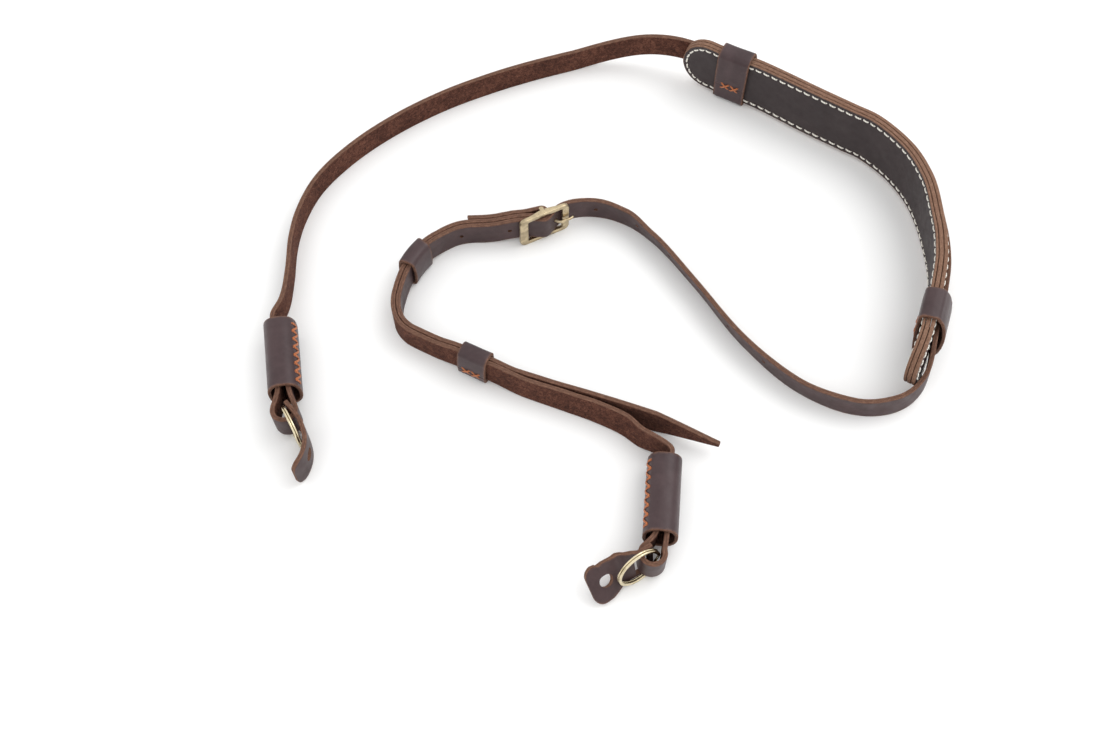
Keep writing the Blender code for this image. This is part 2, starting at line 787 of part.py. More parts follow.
def pad_layers(route, marks, collection, materials):
    start = marks["pad"]
    end = marks["pad end"]
    half = PAD_WIDTH / 2
    bend = [half * (1 - math.cos(math.radians(angle))) for angle in PAD_END_ANGLES]
    extra = [start + step for step in bend] + [end - step for step in bend]
    places = route.stations(start + bend[0], end - bend[0], extra)
    made = []
    aside_from = -STRAP_THICKNESS / 2
    for name, thickness in (("pad_back", PAD_BACK), ("pad_core", PAD_CORE), ("pad_front", PAD_FRONT)):
        middle = aside_from - LAYER_GAP - thickness / 2
        aside_from -= LAYER_GAP + thickness
        rows = []
        for place in places:
            from_end = min(place - start, end - place)
            tall = half
            if from_end < half:
                tall = math.sqrt(half ** 2 - (half - from_end) ** 2)
            foot, aside, up = pad_end_frame(route, marks, place)
            foot = foot + aside * middle
            rows.append([foot + up * (half - tall), foot + up * (half + tall)])
        layer = object_from_rows(name, rows, collection, materials[name])
        thicken(layer, thickness, 0.0)
        shade_round(layer)
        made.append(layer)
    return made


def rounded_outline(corners, seam):
    """Outline with rounded corners, open at a seam on its closing edge.

    Each corner is (aside, height, radius), in order round the left-turning
    outline. The seam is a share of the edge from the last corner to the first.
    """
    outline = []
    spots = [Vector((corner[0], corner[1])) for corner in corners]
    steps = 3
    for index, (aside, height, radius) in enumerate(corners):
        spot = spots[index]
        come = (spot - spots[index - 1]).normalized()
        leave = (spots[(index + 1) % len(spots)] - spot).normalized()
        turn = math.atan2(come.x * leave.y - come.y * leave.x, come.dot(leave))
        start = spot - come * radius * math.tan(turn / 2)
        inward = Vector((-come.y, come.x)) * radius
        for step in range(steps + 1):
            swing = Matrix.Rotation(turn * step / steps, 2)
            outline.append(start + inward + swing @ -inward)
    closing = spots[0] - spots[-1]
    middle = spots[-1] + closing * seam
    half_gap = closing.normalized() * SEAM_GAP / 2
    return [middle + half_gap, *outline, middle - half_gap]


def swept_loop(name, route, start, end, outline, collection, material, frame_at=Route.frame):
    """Leather strip bent round an outline, its edges meeting at the seam."""
    rows = []
    for place in route.stations(start, end):
        foot, aside, up = frame_at(route, place)
        rows.append([foot + aside * spot.x + up * spot.y for spot in outline])
    loop = object_from_rows(name, rows, collection, material)
    thicken(loop, KEEPER_WALL, 1.0)
    shade_round(loop)
    return loop


def strap_keepers(route, marks, collection, material):
    low = -KEEPER_ROOM
    high = STRAP_WIDTH + KEEPER_ROOM
    left = STRAP_THICKNESS / 2 + KEEPER_ROOM
    right = -STRAP_THICKNESS / 2 - PAIR_STEP - KEEPER_ROOM
    radius = KEEPER_ROUND
    corners = ((right, low, radius), (left, low, radius), (left, high, radius), (right, high, radius))
    outline = rounded_outline(corners, STRAP_KEEPER_SEAM)
    made = []
    for name, mark in (("strap_keeper_upper", "upper keeper"), ("strap_keeper_lower", "lower keeper")):
        start = marks[mark] - STRAP_KEEPER_LENGTH / 2
        end = marks[mark] + STRAP_KEEPER_LENGTH / 2
        made.append(swept_loop(name, route, start, end, outline, collection, material))
    return made


def pad_keepers(route, marks, collection, material):
    front = -STRAP_THICKNESS / 2 - LAYER_GAP - PAD_THICKNESS - KEEPER_ROOM
    pad_behind = -STRAP_THICKNESS / 2 - LAYER_GAP + KEEPER_ROOM
    behind = STRAP_THICKNESS / 2 + KEEPER_ROOM + PAD_KEEPER_ROOM
    low = -KEEPER_ROOM
    high = PAD_WIDTH + KEEPER_ROOM
    strap_low = PAD_BELOW - KEEPER_ROOM
    strap_high = PAD_BELOW + STRAP_WIDTH + KEEPER_ROOM
    tight = KEEPER_ROUND
    wide = PAD_KEEPER_BACK_ROUND
    corners = (
        (front, low, tight),
        (pad_behind, low, tight),
        (behind, strap_low, wide),
        (behind, strap_high, wide),
        (pad_behind, high, tight),
        (front, high, tight),
    )
    outline = rounded_outline(corners, PAD_KEEPER_SEAM)
    made = []
    for name, mark in (("pad_keeper_left", "left pad keeper"), ("pad_keeper_right", "right pad keeper")):
        start = marks[mark] - PAD_KEEPER_LENGTH / 2
        end = marks[mark] + PAD_KEEPER_LENGTH / 2
        made.append(swept_loop(name, route, start, end, outline, collection, material, pad_frame))
    return made


def sleeve(name, end, collection, material):
    """Rolled oval sleeve, its seam on the flank that faces the ring."""
    steps = 36
    opening = SEAM_GAP / SLEEVE_HALF_HEIGHT
    power = 2 / SLEEVE_ROUNDNESS
    rows = []
    for reach in (-SLEEVE_LENGTH, -SLEEVE_LENGTH / 2, 0.0):
        row = []
        for step in range(steps + 1):
            angle = SLEEVE_SEAM + opening / 2 + (math.tau - opening) * step / steps
            cosine = math.cos(angle)
            sine = math.sin(angle)
            aside = math.copysign(abs(cosine) ** power, cosine) * SLEEVE_HALF_WIDTH
            height = math.copysign(abs(sine) ** power, sine) * SLEEVE_HALF_HEIGHT
            row.append(end.place(aside, reach) + UP * (SLEEVE_MIDDLE + height))
        rows.append(row)
    made = object_from_rows(name, rows, collection, material)
    thicken(made, SLEEVE_WALL, float(end.hand))
    shade_round(made)
    return made


def split_ring(name, end, collection, material):
    """Flat wire wound twice round. It jogs over where its ends lie side by side."""
    radius = (RING_INSIDE + RING_WIRE_DEPTH) / 2
    centre = end.ring_centre()
    corner = RING_WIRE_ROUND
    deep = RING_WIRE_DEPTH / 2
    wide = RING_WIRE_THICKNESS / 2
    section = [(deep, wide - corner), (deep - corner, wide), (corner - deep, wide), (-deep, wide - corner)]
    section.extend([(-out, -side) for out, side in section])
    swept = 2 * math.tau - RING_JOG
    count = round(RING_STEPS * swept / math.tau)
    shape = bmesh.new()
    rings = []
    for step in range(count + 1):
        turned = swept * step / count
        angle = turned + RING_WIRE_START
        spoke = end.ring_way * math.cos(angle) + end.ring_up * math.sin(angle)
        shift = RING_PITCH * (ease((turned + RING_JOG - math.tau) / RING_JOG) - 0.5)
        middle = centre + spoke * radius + end.ring_side * shift
        rings.append([shape.verts.new(middle + spoke * out + end.ring_side * side) for out, side in section])
    for here, there in zip(rings, rings[1:]):
        for index in range(len(section)):
            shape.faces.new((here[index - 1], here[index], there[index], there[index - 1]))
    shape.faces.new(rings[0])
    shape.faces.new(rings[-1])
    bmesh.ops.recalc_face_normals(shape, faces=shape.faces)
    mesh = bpy.data.meshes.new(name)
    shape.to_mesh(mesh)
    shape.free()
    mesh.materials.append(material)
    ring = bpy.data.objects.new(name, mesh)
    collection.objects.link(ring)
    ring.modifiers.new("flat faces", "TRIANGULATE")
    shade_round(ring)
    return ring


def flap_slot(route, end):
    """Middle, direction and size of the slot, where the leaning flap crosses the fold."""

    def spoke(place, height):
        foot, aside, up = route.frame(place)
        spot = foot + up * height - end.fold
        return Vector((spot.x, spot.y, 0.0))

    crossings = []
    for height in (FLAP_MARGIN, FLAP_HEIGHT / 2, FLAP_HEIGHT - FLAP_MARGIN):
        nearest = min(route.lengths, key=lambda place: abs(spoke(place, height).length - FOLD_RADIUS))
        crossings.append(nearest)
    middle = (min(crossings) + max(crossings)) / 2
    way = route.ahead(middle)
    lean_in = min(abs(way.dot(spoke(place, FLAP_HEIGHT / 2).normalized())) for place in crossings)
    slot = (STRAP_THICKNESS + FLAP_THICKNESS * math.sqrt(1 - lean_in ** 2)) / lean_in + SLOT_ROOM
    slot += max(crossings) - min(crossings)
    foot, aside, up = route.frame(middle)
    centre = foot + up * (FLAP_HEIGHT / 2)
    centre.z = SLEEVE_MIDDLE
    return centre, way, (slot, 4 * FLAP_THICKNESS, STRAP_WIDTH + 2 * FIT_GAP)


def ring_flap(name, end, table, collection, cutters, material):
    """Flap threaded on the fold by a slot, running beside the ring to a round end."""
    knots = []
    for along, aside, lean in table:
        knots.append(end.fold + (end.ring_way * along + end.flap_side * aside) * FLAP_LENGTH)
    leans = [row[2] for row in table]
    half = FLAP_HEIGHT / 2
    lifts = [SLEEVE_MIDDLE - half + FLAP_THICKNESS / 2 * math.sin(math.radians(abs(lean))) for lean in leans]
    route = Route(knots, leans, lifts)
    corner = half * FLAP_CORNER_SHARE
    bend = [corner * (1 - math.cos(math.radians(angle))) for angle in FLAP_END_ANGLES]
    rows = []
    for place in route.stations(0.0, route.length, [route.length - step for step in bend]):
        from_end = route.length - place
        tall = half
        if from_end < corner:
            tall = half - corner + math.sqrt(corner ** 2 - (corner - from_end) ** 2)
        foot, aside, up = route.frame(place)
        rows.append([foot + up * (half - tall), foot + up * (half + tall)])
    flap = object_from_rows(name, rows, collection, material)
    thicken(flap, FLAP_THICKNESS, 0.0)
    centre, way, size = flap_slot(route, end)
    cut(flap, box_cutter(name + "_slot", centre, way, size, cutters))
    hole = FLAP_HOLE_SHARE * route.length
    foot, across, up = route.frame(hole)
    centre = foot + up * half
    wide = FLAP_HOLE_DIAMETER
    cut(flap, cylinder_cutter(name + "_hole", centre, across, wide, 4 * FLAP_THICKNESS, cutters))
    shade_round(flap)
    return flap


def buckle_frame(collection, cutters, material):
    """Plate with a window, its rails swelling to the back, where they hold the centre bar."""
    left = -BUCKLE_LENGTH / 2
    right = BUCKLE_LENGTH / 2
    steps = 8
    window = [Buckle.left_edge + (Buckle.right_edge - Buckle.left_edge) * step / steps for step in range(steps + 1)]
    columns = [left, *window, right]
    inner = BUCKLE_HEIGHT / 2 - BUCKLE_RAIL
    levels = [-BUCKLE_HEIGHT / 2, -inner, inner, BUCKLE_HEIGHT / 2]
    shape = bmesh.new()
    grid = []
    for east in columns:
        grid.append([shape.verts.new((east, 0.0, level)) for level in levels])
    for column, (here, there) in enumerate(zip(grid, grid[1:])):
        for row in range(3):
            if row == 1 and 0 < column < len(columns) - 2:
                continue
            shape.faces.new((here[row], there[row], there[row + 1], here[row + 1]))
    corners = [grid[column][row] for column in (0, -1) for row in (0, -1)]
    bmesh.ops.bevel(shape, geom=corners, offset=BUCKLE_CORNER, segments=4, affect="VERTICES")
    made = bmesh.ops.extrude_face_region(shape, geom=list(shape.faces), use_keep_orig=True)
    front = [item for item in made["geom"] if isinstance(item, bmesh.types.BMVert)]
    for vertex in front:
        vertex.co.y = -BUCKLE_THICKNESS
    for vertex in shape.verts:
        if vertex not in front:
            vertex.co.y = rail_swell(vertex.co.x)
    bmesh.ops.recalc_face_normals(shape, faces=shape.faces)
    mesh = bpy.data.meshes.new("buckle_frame")
    shape.to_mesh(mesh)
    shape.free()
    mesh.materials.append(material)
    frame = bpy.data.objects.new("buckle_frame", mesh)
    collection.objects.link(frame)
    frame.location = Buckle.place(0.0, 0.0, BUCKLE_HEIGHT / 2)
    frame.rotation_euler.z = BUCKLE_TURN
    edge = frame.modifiers.new("edge", "BEVEL")
    edge.width = BUCKLE_EDGE
    edge.segments = 2
    edge.limit_method = "ANGLE"
    edge.angle_limit = math.radians(50)
    for level in (-1, 1):
        middle = BUCKLE_HEIGHT / 2 + level * (BUCKLE_HEIGHT - BUCKLE_RAIL) / 2
        centre = Buckle.place(0.0, -BUCKLE_BOW / 2, middle)
        size = (0.9 * CENTRE_BAR, BUCKLE_BOW, BUCKLE_RAIL - 3 * BUCKLE_EDGE)
        lug = box_cutter(f"bar_lug_{level + 1}", centre, Buckle.east, size, cutters)
        unite(frame, lug)
    bpy.ops.mesh.primitive_cylinder_add(vertices=16, radius=CENTRE_BAR / 2, depth=BUCKLE_HEIGHT - BUCKLE_RAIL / 2)
    bar = bpy.context.object
    bar.name = "centre_bar"
    bar.location = Buckle.place(0.0, -BUCKLE_BOW, BUCKLE_HEIGHT / 2)
    bar.rotation_euler.z = BUCKLE_TURN
    unite(frame, as_cutter(bar, cutters))
    shade_round(frame)
    return frame


def buckle_tongue(route, marks, collection, material):
    points = tongue_points(route, marks)
    rod = bpy.data.curves.new("buckle_tongue", "CURVE")
    rod.dimensions = "3D"
    rod.bevel_depth = TONGUE / 2
    rod.bevel_resolution = 2
    rod.use_fill_caps = True
    spline = rod.splines.new("POLY")
    spline.points.add(len(points) - 1)
    for spot, point in zip(spline.points, points):
        spot.co = (*point, 1.0)
    rod.materials.append(material)
    tongue = bpy.data.objects.new("buckle_tongue", rod)
    collection.objects.link(tongue)
    return tongue


def set_down(collection, cutters):
    """Move everything so that the origin is under the middle of the strap."""
    bpy.context.view_layer.update()
    graph = bpy.context.evaluated_depsgraph_get()
    lowest = Vector((math.inf,) * 3)
    highest = Vector((-math.inf,) * 3)
    for item in collection.objects:
        shown = item.evaluated_get(graph)
        mesh = shown.to_mesh()
        for vertex in mesh.vertices:
            spot = item.matrix_world @ vertex.co
            lowest = Vector(map(min, lowest, spot))
            highest = Vector(map(max, highest, spot))
        shown.to_mesh_clear()
    middle = (lowest + highest) / 2
    shift = Vector((-middle.x, -middle.y, -lowest.z))
    for item in (*collection.objects, *cutters.objects):
        item.matrix_world = Matrix.Translation(shift) @ item.matrix_world
    bpy.context.view_layer.update()


def build():
    clear_scene()
    parts = new_collection("camera_shoulder_strap")
    cutters = new_collection("cutters")
    materials = make_materials()
    left = End("left")
    right = End("right")
    main, marks = main_route(left)
    short, wrapped = buckle_route(main, marks, right)
    main_strap(main, marks, parts, cutters, materials["main_strap"])
    buckle_strap(short, wrapped, parts, cutters, materials["buckle_strap"])
    pad_layers(main, marks, parts, materials)
    pad_keepers(main, marks, parts, materials["keeper"])
    strap_keepers(main, marks, parts, materials["keeper"])
    for side, end in (("left", left), ("right", right)):
        sleeve(f"end_sleeve_{side}", end, parts, materials["sleeve"])
        split_ring(f"split_ring_{side}", end, parts, materials["ring"])
        ring_flap(f"ring_flap_{side}", end, FLAP_ROUTES[side], parts, cutters, materials["flap"])
    buckle_frame(parts, cutters, materials["frame"])
    buckle_tongue(main, marks, parts, materials["tongue"])
    set_down(parts, cutters)


build()
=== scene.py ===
"""Looks of the leather camera strap: worn leather, stitches, brass, light and the camera.

The straps, the pad and their loops are rebuilt finer along the same routes as
the solids. A place along a route is an arc length. Across a route, "aside" is
measured to the left of the way it runs, and "height" from the lower edge.
"""
import math
import random
from bisect import bisect_right

import bmesh
import bpy
from mathutils import Matrix, Vector, noise

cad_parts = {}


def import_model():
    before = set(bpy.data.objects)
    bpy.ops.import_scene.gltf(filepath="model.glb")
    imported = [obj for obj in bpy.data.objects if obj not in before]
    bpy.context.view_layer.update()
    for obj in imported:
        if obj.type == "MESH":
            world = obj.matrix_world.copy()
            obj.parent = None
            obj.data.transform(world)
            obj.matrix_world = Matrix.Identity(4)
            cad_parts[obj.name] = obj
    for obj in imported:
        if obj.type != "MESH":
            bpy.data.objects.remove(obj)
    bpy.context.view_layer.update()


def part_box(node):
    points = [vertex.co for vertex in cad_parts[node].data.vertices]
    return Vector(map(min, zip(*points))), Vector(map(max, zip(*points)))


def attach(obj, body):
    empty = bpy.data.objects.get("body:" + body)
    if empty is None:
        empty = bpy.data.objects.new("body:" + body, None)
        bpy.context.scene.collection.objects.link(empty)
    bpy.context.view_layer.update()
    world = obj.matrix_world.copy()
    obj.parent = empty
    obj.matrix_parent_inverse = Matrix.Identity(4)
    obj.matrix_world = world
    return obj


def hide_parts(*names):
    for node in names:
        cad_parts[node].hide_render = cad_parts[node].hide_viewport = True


MM = 0.001
UP = Vector((0.0, 0.0, 1.0))

# Plan reach of the whole strap as it lies
LOOP_WIDTH = 310 * MM
LOOP_DEPTH = 300 * MM

# Clearances
FIT_GAP = 0.3 * MM
LAYER_GAP = 0.25 * MM
SEAM_GAP = 0.12 * MM

# Straps
STRAP_WIDTH = 13.5 * MM
STRAP_THICKNESS = 2.1 * MM
TAIL_TAPER = 29.5 * MM
TAIL_TIP = 2.2 * MM
FOLD_BACK = 38 * MM
FOLD_BACK_SLANT = 5 * MM
KNOT_STRIDE = 5 * MM
HOLE_DIAMETER = 2.0 * MM
HOLE_PITCH = 23 * MM
HOLES_BEFORE = 6
HOLES_AFTER = 2

# Shoulder pad
PAD_WIDTH = 29 * MM
PAD_LENGTH = 253 * MM
PAD_FRONT = 1.2 * MM
PAD_CORE = 1.9 * MM
PAD_BACK = 1.7 * MM
PAD_END_TURN = math.radians(16)
PAD_RISE_RUN = 62 * MM
PAD_FALL_RUN = 30 * MM

# Loops that hold the straps
KEEPER_WALL = 1.5 * MM
KEEPER_ROUND = 0.5 * MM
KEEPER_ROOM = 0.45 * MM
PAD_KEEPER_LENGTH = 16 * MM
PAD_KEEPER_ROOM = 0.8 * MM
PAD_KEEPER_BACK_ROUND = 4.5 * MM
LEFT_KEEPER_INSET = 20 * MM
RIGHT_KEEPER_INSET = 24 * MM
PAD_KEEPER_SEAM = 0.66
STRAP_KEEPER_LENGTH = 14 * MM
STRAP_KEEPER_SEAM = 0.72

# Rolled sleeves at both ends
SLEEVE_LENGTH = 35 * MM
SLEEVE_WALL = 1.5 * MM
SLEEVE_ROUNDNESS = 2.6
SLEEVE_WIDE = 1.6
SLEEVE_SEAM = math.radians(25)
LEG_SPREAD = 4.6 * MM
LEG_END_INSET = 4 * MM
FOLD_RADIUS = 4.95 * MM
LOW_BEFORE_SLEEVE = 0.6

# Split rings
RING_WIRE_THICKNESS = 0.9 * MM
RING_WIRE_DEPTH = 1.5 * MM
RING_COIL_GAP = 0.1 * MM
RING_ROOM = 4.1 * MM
RING_ASIDE_SHARE = 0.6
RING_JOG = math.radians(40)
RING_WIRE_START = math.radians(205)

# Flaps beside the rings
FLAP_LENGTH = 36 * MM
FLAP_MARGIN = 2.25 * MM
FLAP_THICKNESS = 1.9 * MM
FLAP_HOLE_DIAMETER = 6 * MM
FLAP_HOLE_SHARE = 0.68
FLAP_CORNER_SHARE = 0.5
SLOT_ROOM = 3.2 * MM

# Buckle
BUCKLE_LENGTH = 25.5 * MM
BUCKLE_ROOM = 0.65 * MM
BUCKLE_RAIL = 2.1 * MM
BUCKLE_THICKNESS = 2.0 * MM
BUCKLE_LEFT_BAR = 4.2 * MM
BUCKLE_RIGHT_BAR = 3.5 * MM
BUCKLE_BOW = 2.0 * MM
RAIL_SWELL = 1.2 * MM
BUCKLE_CORNER = 3.0 * MM
WINDOW_CORNER = 0.9 * MM
BUCKLE_EDGE = 0.5 * MM
CENTRE_BAR = 2.2 * MM
TONGUE = 1.6 * MM
TONGUE_OVERHANG = 1.9 * MM
TONGUE_HOLE_SHARE = 0.62
BUCKLE_TURN = math.radians(26.3)
BUCKLE_ACROSS = -0.110
BUCKLE_AWAY = 0.131

# Leather edges and thread
SOFT_EDGE = 0.4 * MM
PAD_THREAD = 0.78 * MM
SEAM_THREAD = 0.5 * MM
PAD_STITCH_PITCH = 4.5 * MM
PAD_STITCH_LENGTH = 3.5 * MM
PAD_STITCH_INSET = 2.4 * MM
GROOVE_DEPTH = 0.22 * MM
GROOVE_WIDTH = 1.0 * MM
PAD_CROWN = 0.2 * MM
LOOP_BULGE = 0.5 * MM
EDGE_WAVER = 0.12 * MM
CROSS_ALONG = 2.1 * MM
CROSS_ACROSS = 2.0 * MM
CROSS_SPREAD = 2.4 * MM
SLEEVE_STITCH_GROUPS = 7
SLEEVE_STITCH_MARGIN = 3.0 * MM
SLEEVE_STITCH_ACROSS = 2.1 * MM
STRAP_STITCH_CLEAR = 1.5 * MM
PAD_STITCH_CLEAR = 4 * MM
THREAD_TWIST = 1.1 * MM

# Route of the main strap: shares of LOOP_WIDTH and LOOP_DEPTH from the middle,
# and the lean of the strap to its left, in degrees
MAIN_ROUTE = (
    # name, across, away, lean
    ("sleeve", -0.492, -0.020, 0),
    ("", -0.489, 0.040, 0),
    ("", -0.490, 0.097, 0),
    ("", -0.484, 0.147, 0),
    ("", -0.464, 0.207, 0),
    ("", -0.426, 0.263, 0),
    ("", -0.368, 0.321, 0),
    ("", -0.282, 0.383, 0),
    ("", -0.181, 0.434, 0),
    ("", -0.084, 0.471, -1),
    ("", -0.015, 0.491, -2),
    ("", 0.052, 0.494, -3),
    ("pad", 0.126, 0.473, -3),
    ("", 0.192, 0.435, -3),
    ("", 0.245, 0.405, -1.5),
    ("", 0.322, 0.351, 0),
    ("", 0.373, 0.317, 0),
    ("", 0.411, 0.291, 0),
    ("", 0.455, 0.236, -1),
    ("", 0.479, 0.176, -3),
    ("", 0.488, 0.090, -6),
    ("", 0.486, 0.030, -8),
    ("", 0.472, -0.030, -8.5),
    ("", 0.450, -0.095, -8.5),
    ("", 0.428, -0.159, -6),
    ("", 0.385, -0.187, -3),
    ("", 0.327, -0.187, 3),
    ("", 0.254, -0.149, 10),
    ("", 0.182, -0.069, 15),
    ("", 0.125, 0.024, 18),
    ("", 0.063, 0.113, 17),
    ("", 0.018, 0.152, 8),
    ("", -0.032, 0.167, 2),
    ("buckle", BUCKLE_ACROSS, BUCKLE_AWAY, 0),
    ("", -0.177, 0.118, 0),
    ("", -0.229, 0.116, 0),
    ("", -0.255, 0.105, 0),
    ("upper keeper", -0.298, 0.058, 0),
    ("", -0.321, -0.010, 0),
    ("", -0.316, -0.045, 0),
    ("", -0.303, -0.062, 0),
    ("", -0.281, -0.075, 0),
    ("lower keeper", -0.205, -0.1165, 3),
    ("parting", -0.174, -0.133, 5),
    ("", -0.109, -0.160, 7),
    ("", -0.045, -0.182, 7),
    ("", 0.042, -0.213, 6),
    ("tip", 0.135, -0.251, 4),
)

# Where the buckle strap runs alone, from the parting to the right sleeve
BUCKLE_STRAP_ROUTE = (
    # across, away, lean
    (-0.138, -0.159, 7),
    (-0.072, -0.186, 10),
    (-0.039, -0.200, 12),
    (0.001, -0.221, 13),
    (0.0255, -0.2405, 8),
    (0.0460, -0.2530, 4),
)

# Ends of the straps: the mouth of each sleeve, the way it points, the side of
# its ring (1 is left of that way), the place of the fold from the mouth in
# shares of FOLD_RADIUS, the way the ring lies from the fold, and its lean
# towards the flap
ENDS = {
    # name: across, away, heading, hand, fold_aside, fold_reach, turn, lean
    "left": (-0.472, -0.174, -80.3, 1, -0.06, 2.10, 19.4, 0.0),
    "right": (0.046, -0.395, -95.7, -1, 0.57, 1.76, 51.2, 9.0),
}

# Plan route of each flap from the middle of the fold: shares of FLAP_LENGTH
FLAP_ROUTES = {
    "left": (
        # along the ring, aside from the ring, lean
        (-0.063, 0.057, 0),
        (0.010, 0.071, 0),
        (0.119, 0.093, 0),
        (0.248, 0.107, 0),
        (0.375, 0.095, 0),
        (0.499, 0.063, 0),
        (0.605, 0.002, 0),
        (0.698, -0.088, 0),
        (0.779, -0.223, 0),
    ),
    "right": (
        # along the ring, aside from the ring, lean
        (-0.025, -0.005, -9),
        (0.060, -0.005, -9),
        (0.160, -0.005, -10),
        (0.278, 0.000, -17),
        (0.350, -0.004, -26),
        (0.444, -0.038, -35),
        (0.556, -0.081, -41),
        (0.667, -0.092, -45),
        (0.790, -0.092, -46),
    ),
}

# Sizes that follow from those above
HALF_STRAP = STRAP_WIDTH / 2
PAIR_STEP = STRAP_THICKNESS + LAYER_GAP
PAD_BELOW = (PAD_WIDTH - STRAP_WIDTH) / 2
PAD_THICKNESS = PAD_FRONT + PAD_CORE + PAD_BACK + 2 * LAYER_GAP
KEEPER_LIFT = KEEPER_WALL + KEEPER_ROOM
LEG_OUTSIDE = (LEG_SPREAD + STRAP_THICKNESS) / 2 + FIT_GAP
SLEEVE_HALF_WIDTH = LEG_OUTSIDE * SLEEVE_WIDE
SLEEVE_TALL = (1 - SLEEVE_WIDE ** -SLEEVE_ROUNDNESS) ** (-1 / SLEEVE_ROUNDNESS)
SLEEVE_HALF_HEIGHT = (HALF_STRAP + FIT_GAP / 2) * SLEEVE_TALL
SLEEVE_MIDDLE = SLEEVE_HALF_HEIGHT + SLEEVE_WALL
SLEEVE_LIFT = SLEEVE_MIDDLE - HALF_STRAP
BUCKLE_HEIGHT = STRAP_WIDTH + 2 * (BUCKLE_ROOM + BUCKLE_RAIL)
BUCKLE_LIFT = (BUCKLE_HEIGHT - STRAP_WIDTH) / 2
RING_INSIDE = STRAP_WIDTH + RING_ROOM
RING_OUTSIDE = RING_INSIDE + 2 * RING_WIRE_DEPTH
RING_PITCH = RING_WIRE_THICKNESS + RING_COIL_GAP
FLAP_HEIGHT = STRAP_WIDTH + 2 * FLAP_MARGIN
PAD_ROUND = 2 * (PAD_LENGTH - PAD_WIDTH) + math.pi * PAD_WIDTH

# The photo's camera: its place in the plan, its tilt, and its lens and sensor in millimetres
CAMERA_PLACE = Vector((-0.03092, -0.29395, 0.4766))
CAMERA_TILT = math.radians(28.7)
CAMERA_LENS = 39.42
CAMERA_SENSOR = 36.0
FLOOR_SIZE = 6.0

# Fineness of the shapes
DENSE_STEP = 0.5 * MM
LONGEST_STEP = 2.0 * MM
LARGEST_TURN = math.radians(3)
LIFT_EASING = 7
EYE_STEPS = 16
CORNER_STEPS = 3
FACE_STEPS = 8
LOOP_STEP = 1.2 * MM
TONGUE_STEP = 0.4 * MM
PAD_STEP = 1.6 * MM
THREAD_SIDES = 8
SHEER = 1e-6

# Zones of a leather strip, in the order of its materials
SMOOTH, EDGE, SUEDE = range(3)


def ease(share):
    """Smooth step from 0 to 1."""
    share = min(max(share, 0.0), 1.0)
    return share * share * (3 - 2 * share)


def plan_point(across, away):
    return Vector((across * LOOP_WIDTH, away * LOOP_DEPTH, 0.0))


def left_of(ahead):
    return Vector((-ahead.y, ahead.x, 0.0))


def running_lengths(points):
    """Length along a line up to each of its points."""
    lengths = [0.0]
    for first, second in zip(points, points[1:]):
        lengths.append(lengths[-1] + (second - first).length)
    return lengths


def way_at(points, index):
    """Direction of a line of points at one of them."""
    before = points[min(index + 1, len(points) - 1)]
    behind = points[max(index - 1, 0)]
    return (before - behind).normalized()


def smooth_line(knots, dense_step=DENSE_STEP):
    """Dense points on the centripetal curve through the knots, and each knot's index."""
    ends = [knots[0] * 2 - knots[1], *knots, knots[-1] * 2 - knots[-2]]
    points = [knots[0].copy()]
    at_knot = [0]
    for index in range(1, len(ends) - 2):
        four = ends[index - 1:index + 3]
        times = [0.0]
        for first, second in zip(four, four[1:]):
            times.append(times[-1] + math.sqrt((second - first).length))
        count = max(2, math.ceil((four[2] - four[1]).length / dense_step))
        for step in range(1, count + 1):
            time = times[1] + (times[2] - times[1]) * step / count
            level = list(four)
            for width in (1, 2, 3):
                # The last two levels share the middle span, as this curve's rule asks
                reach = min(width, 2)
                for place in range(4 - width):
                    start = times[place] if width < 3 else times[1]
                    end = times[place + reach] if width < 3 else times[2]
                    share = (time - start) / (end - start)
                    level[place] = level[place].lerp(level[place + 1], share)
            points.append(level[0])
        at_knot.append(len(points) - 1)
    return points, at_knot


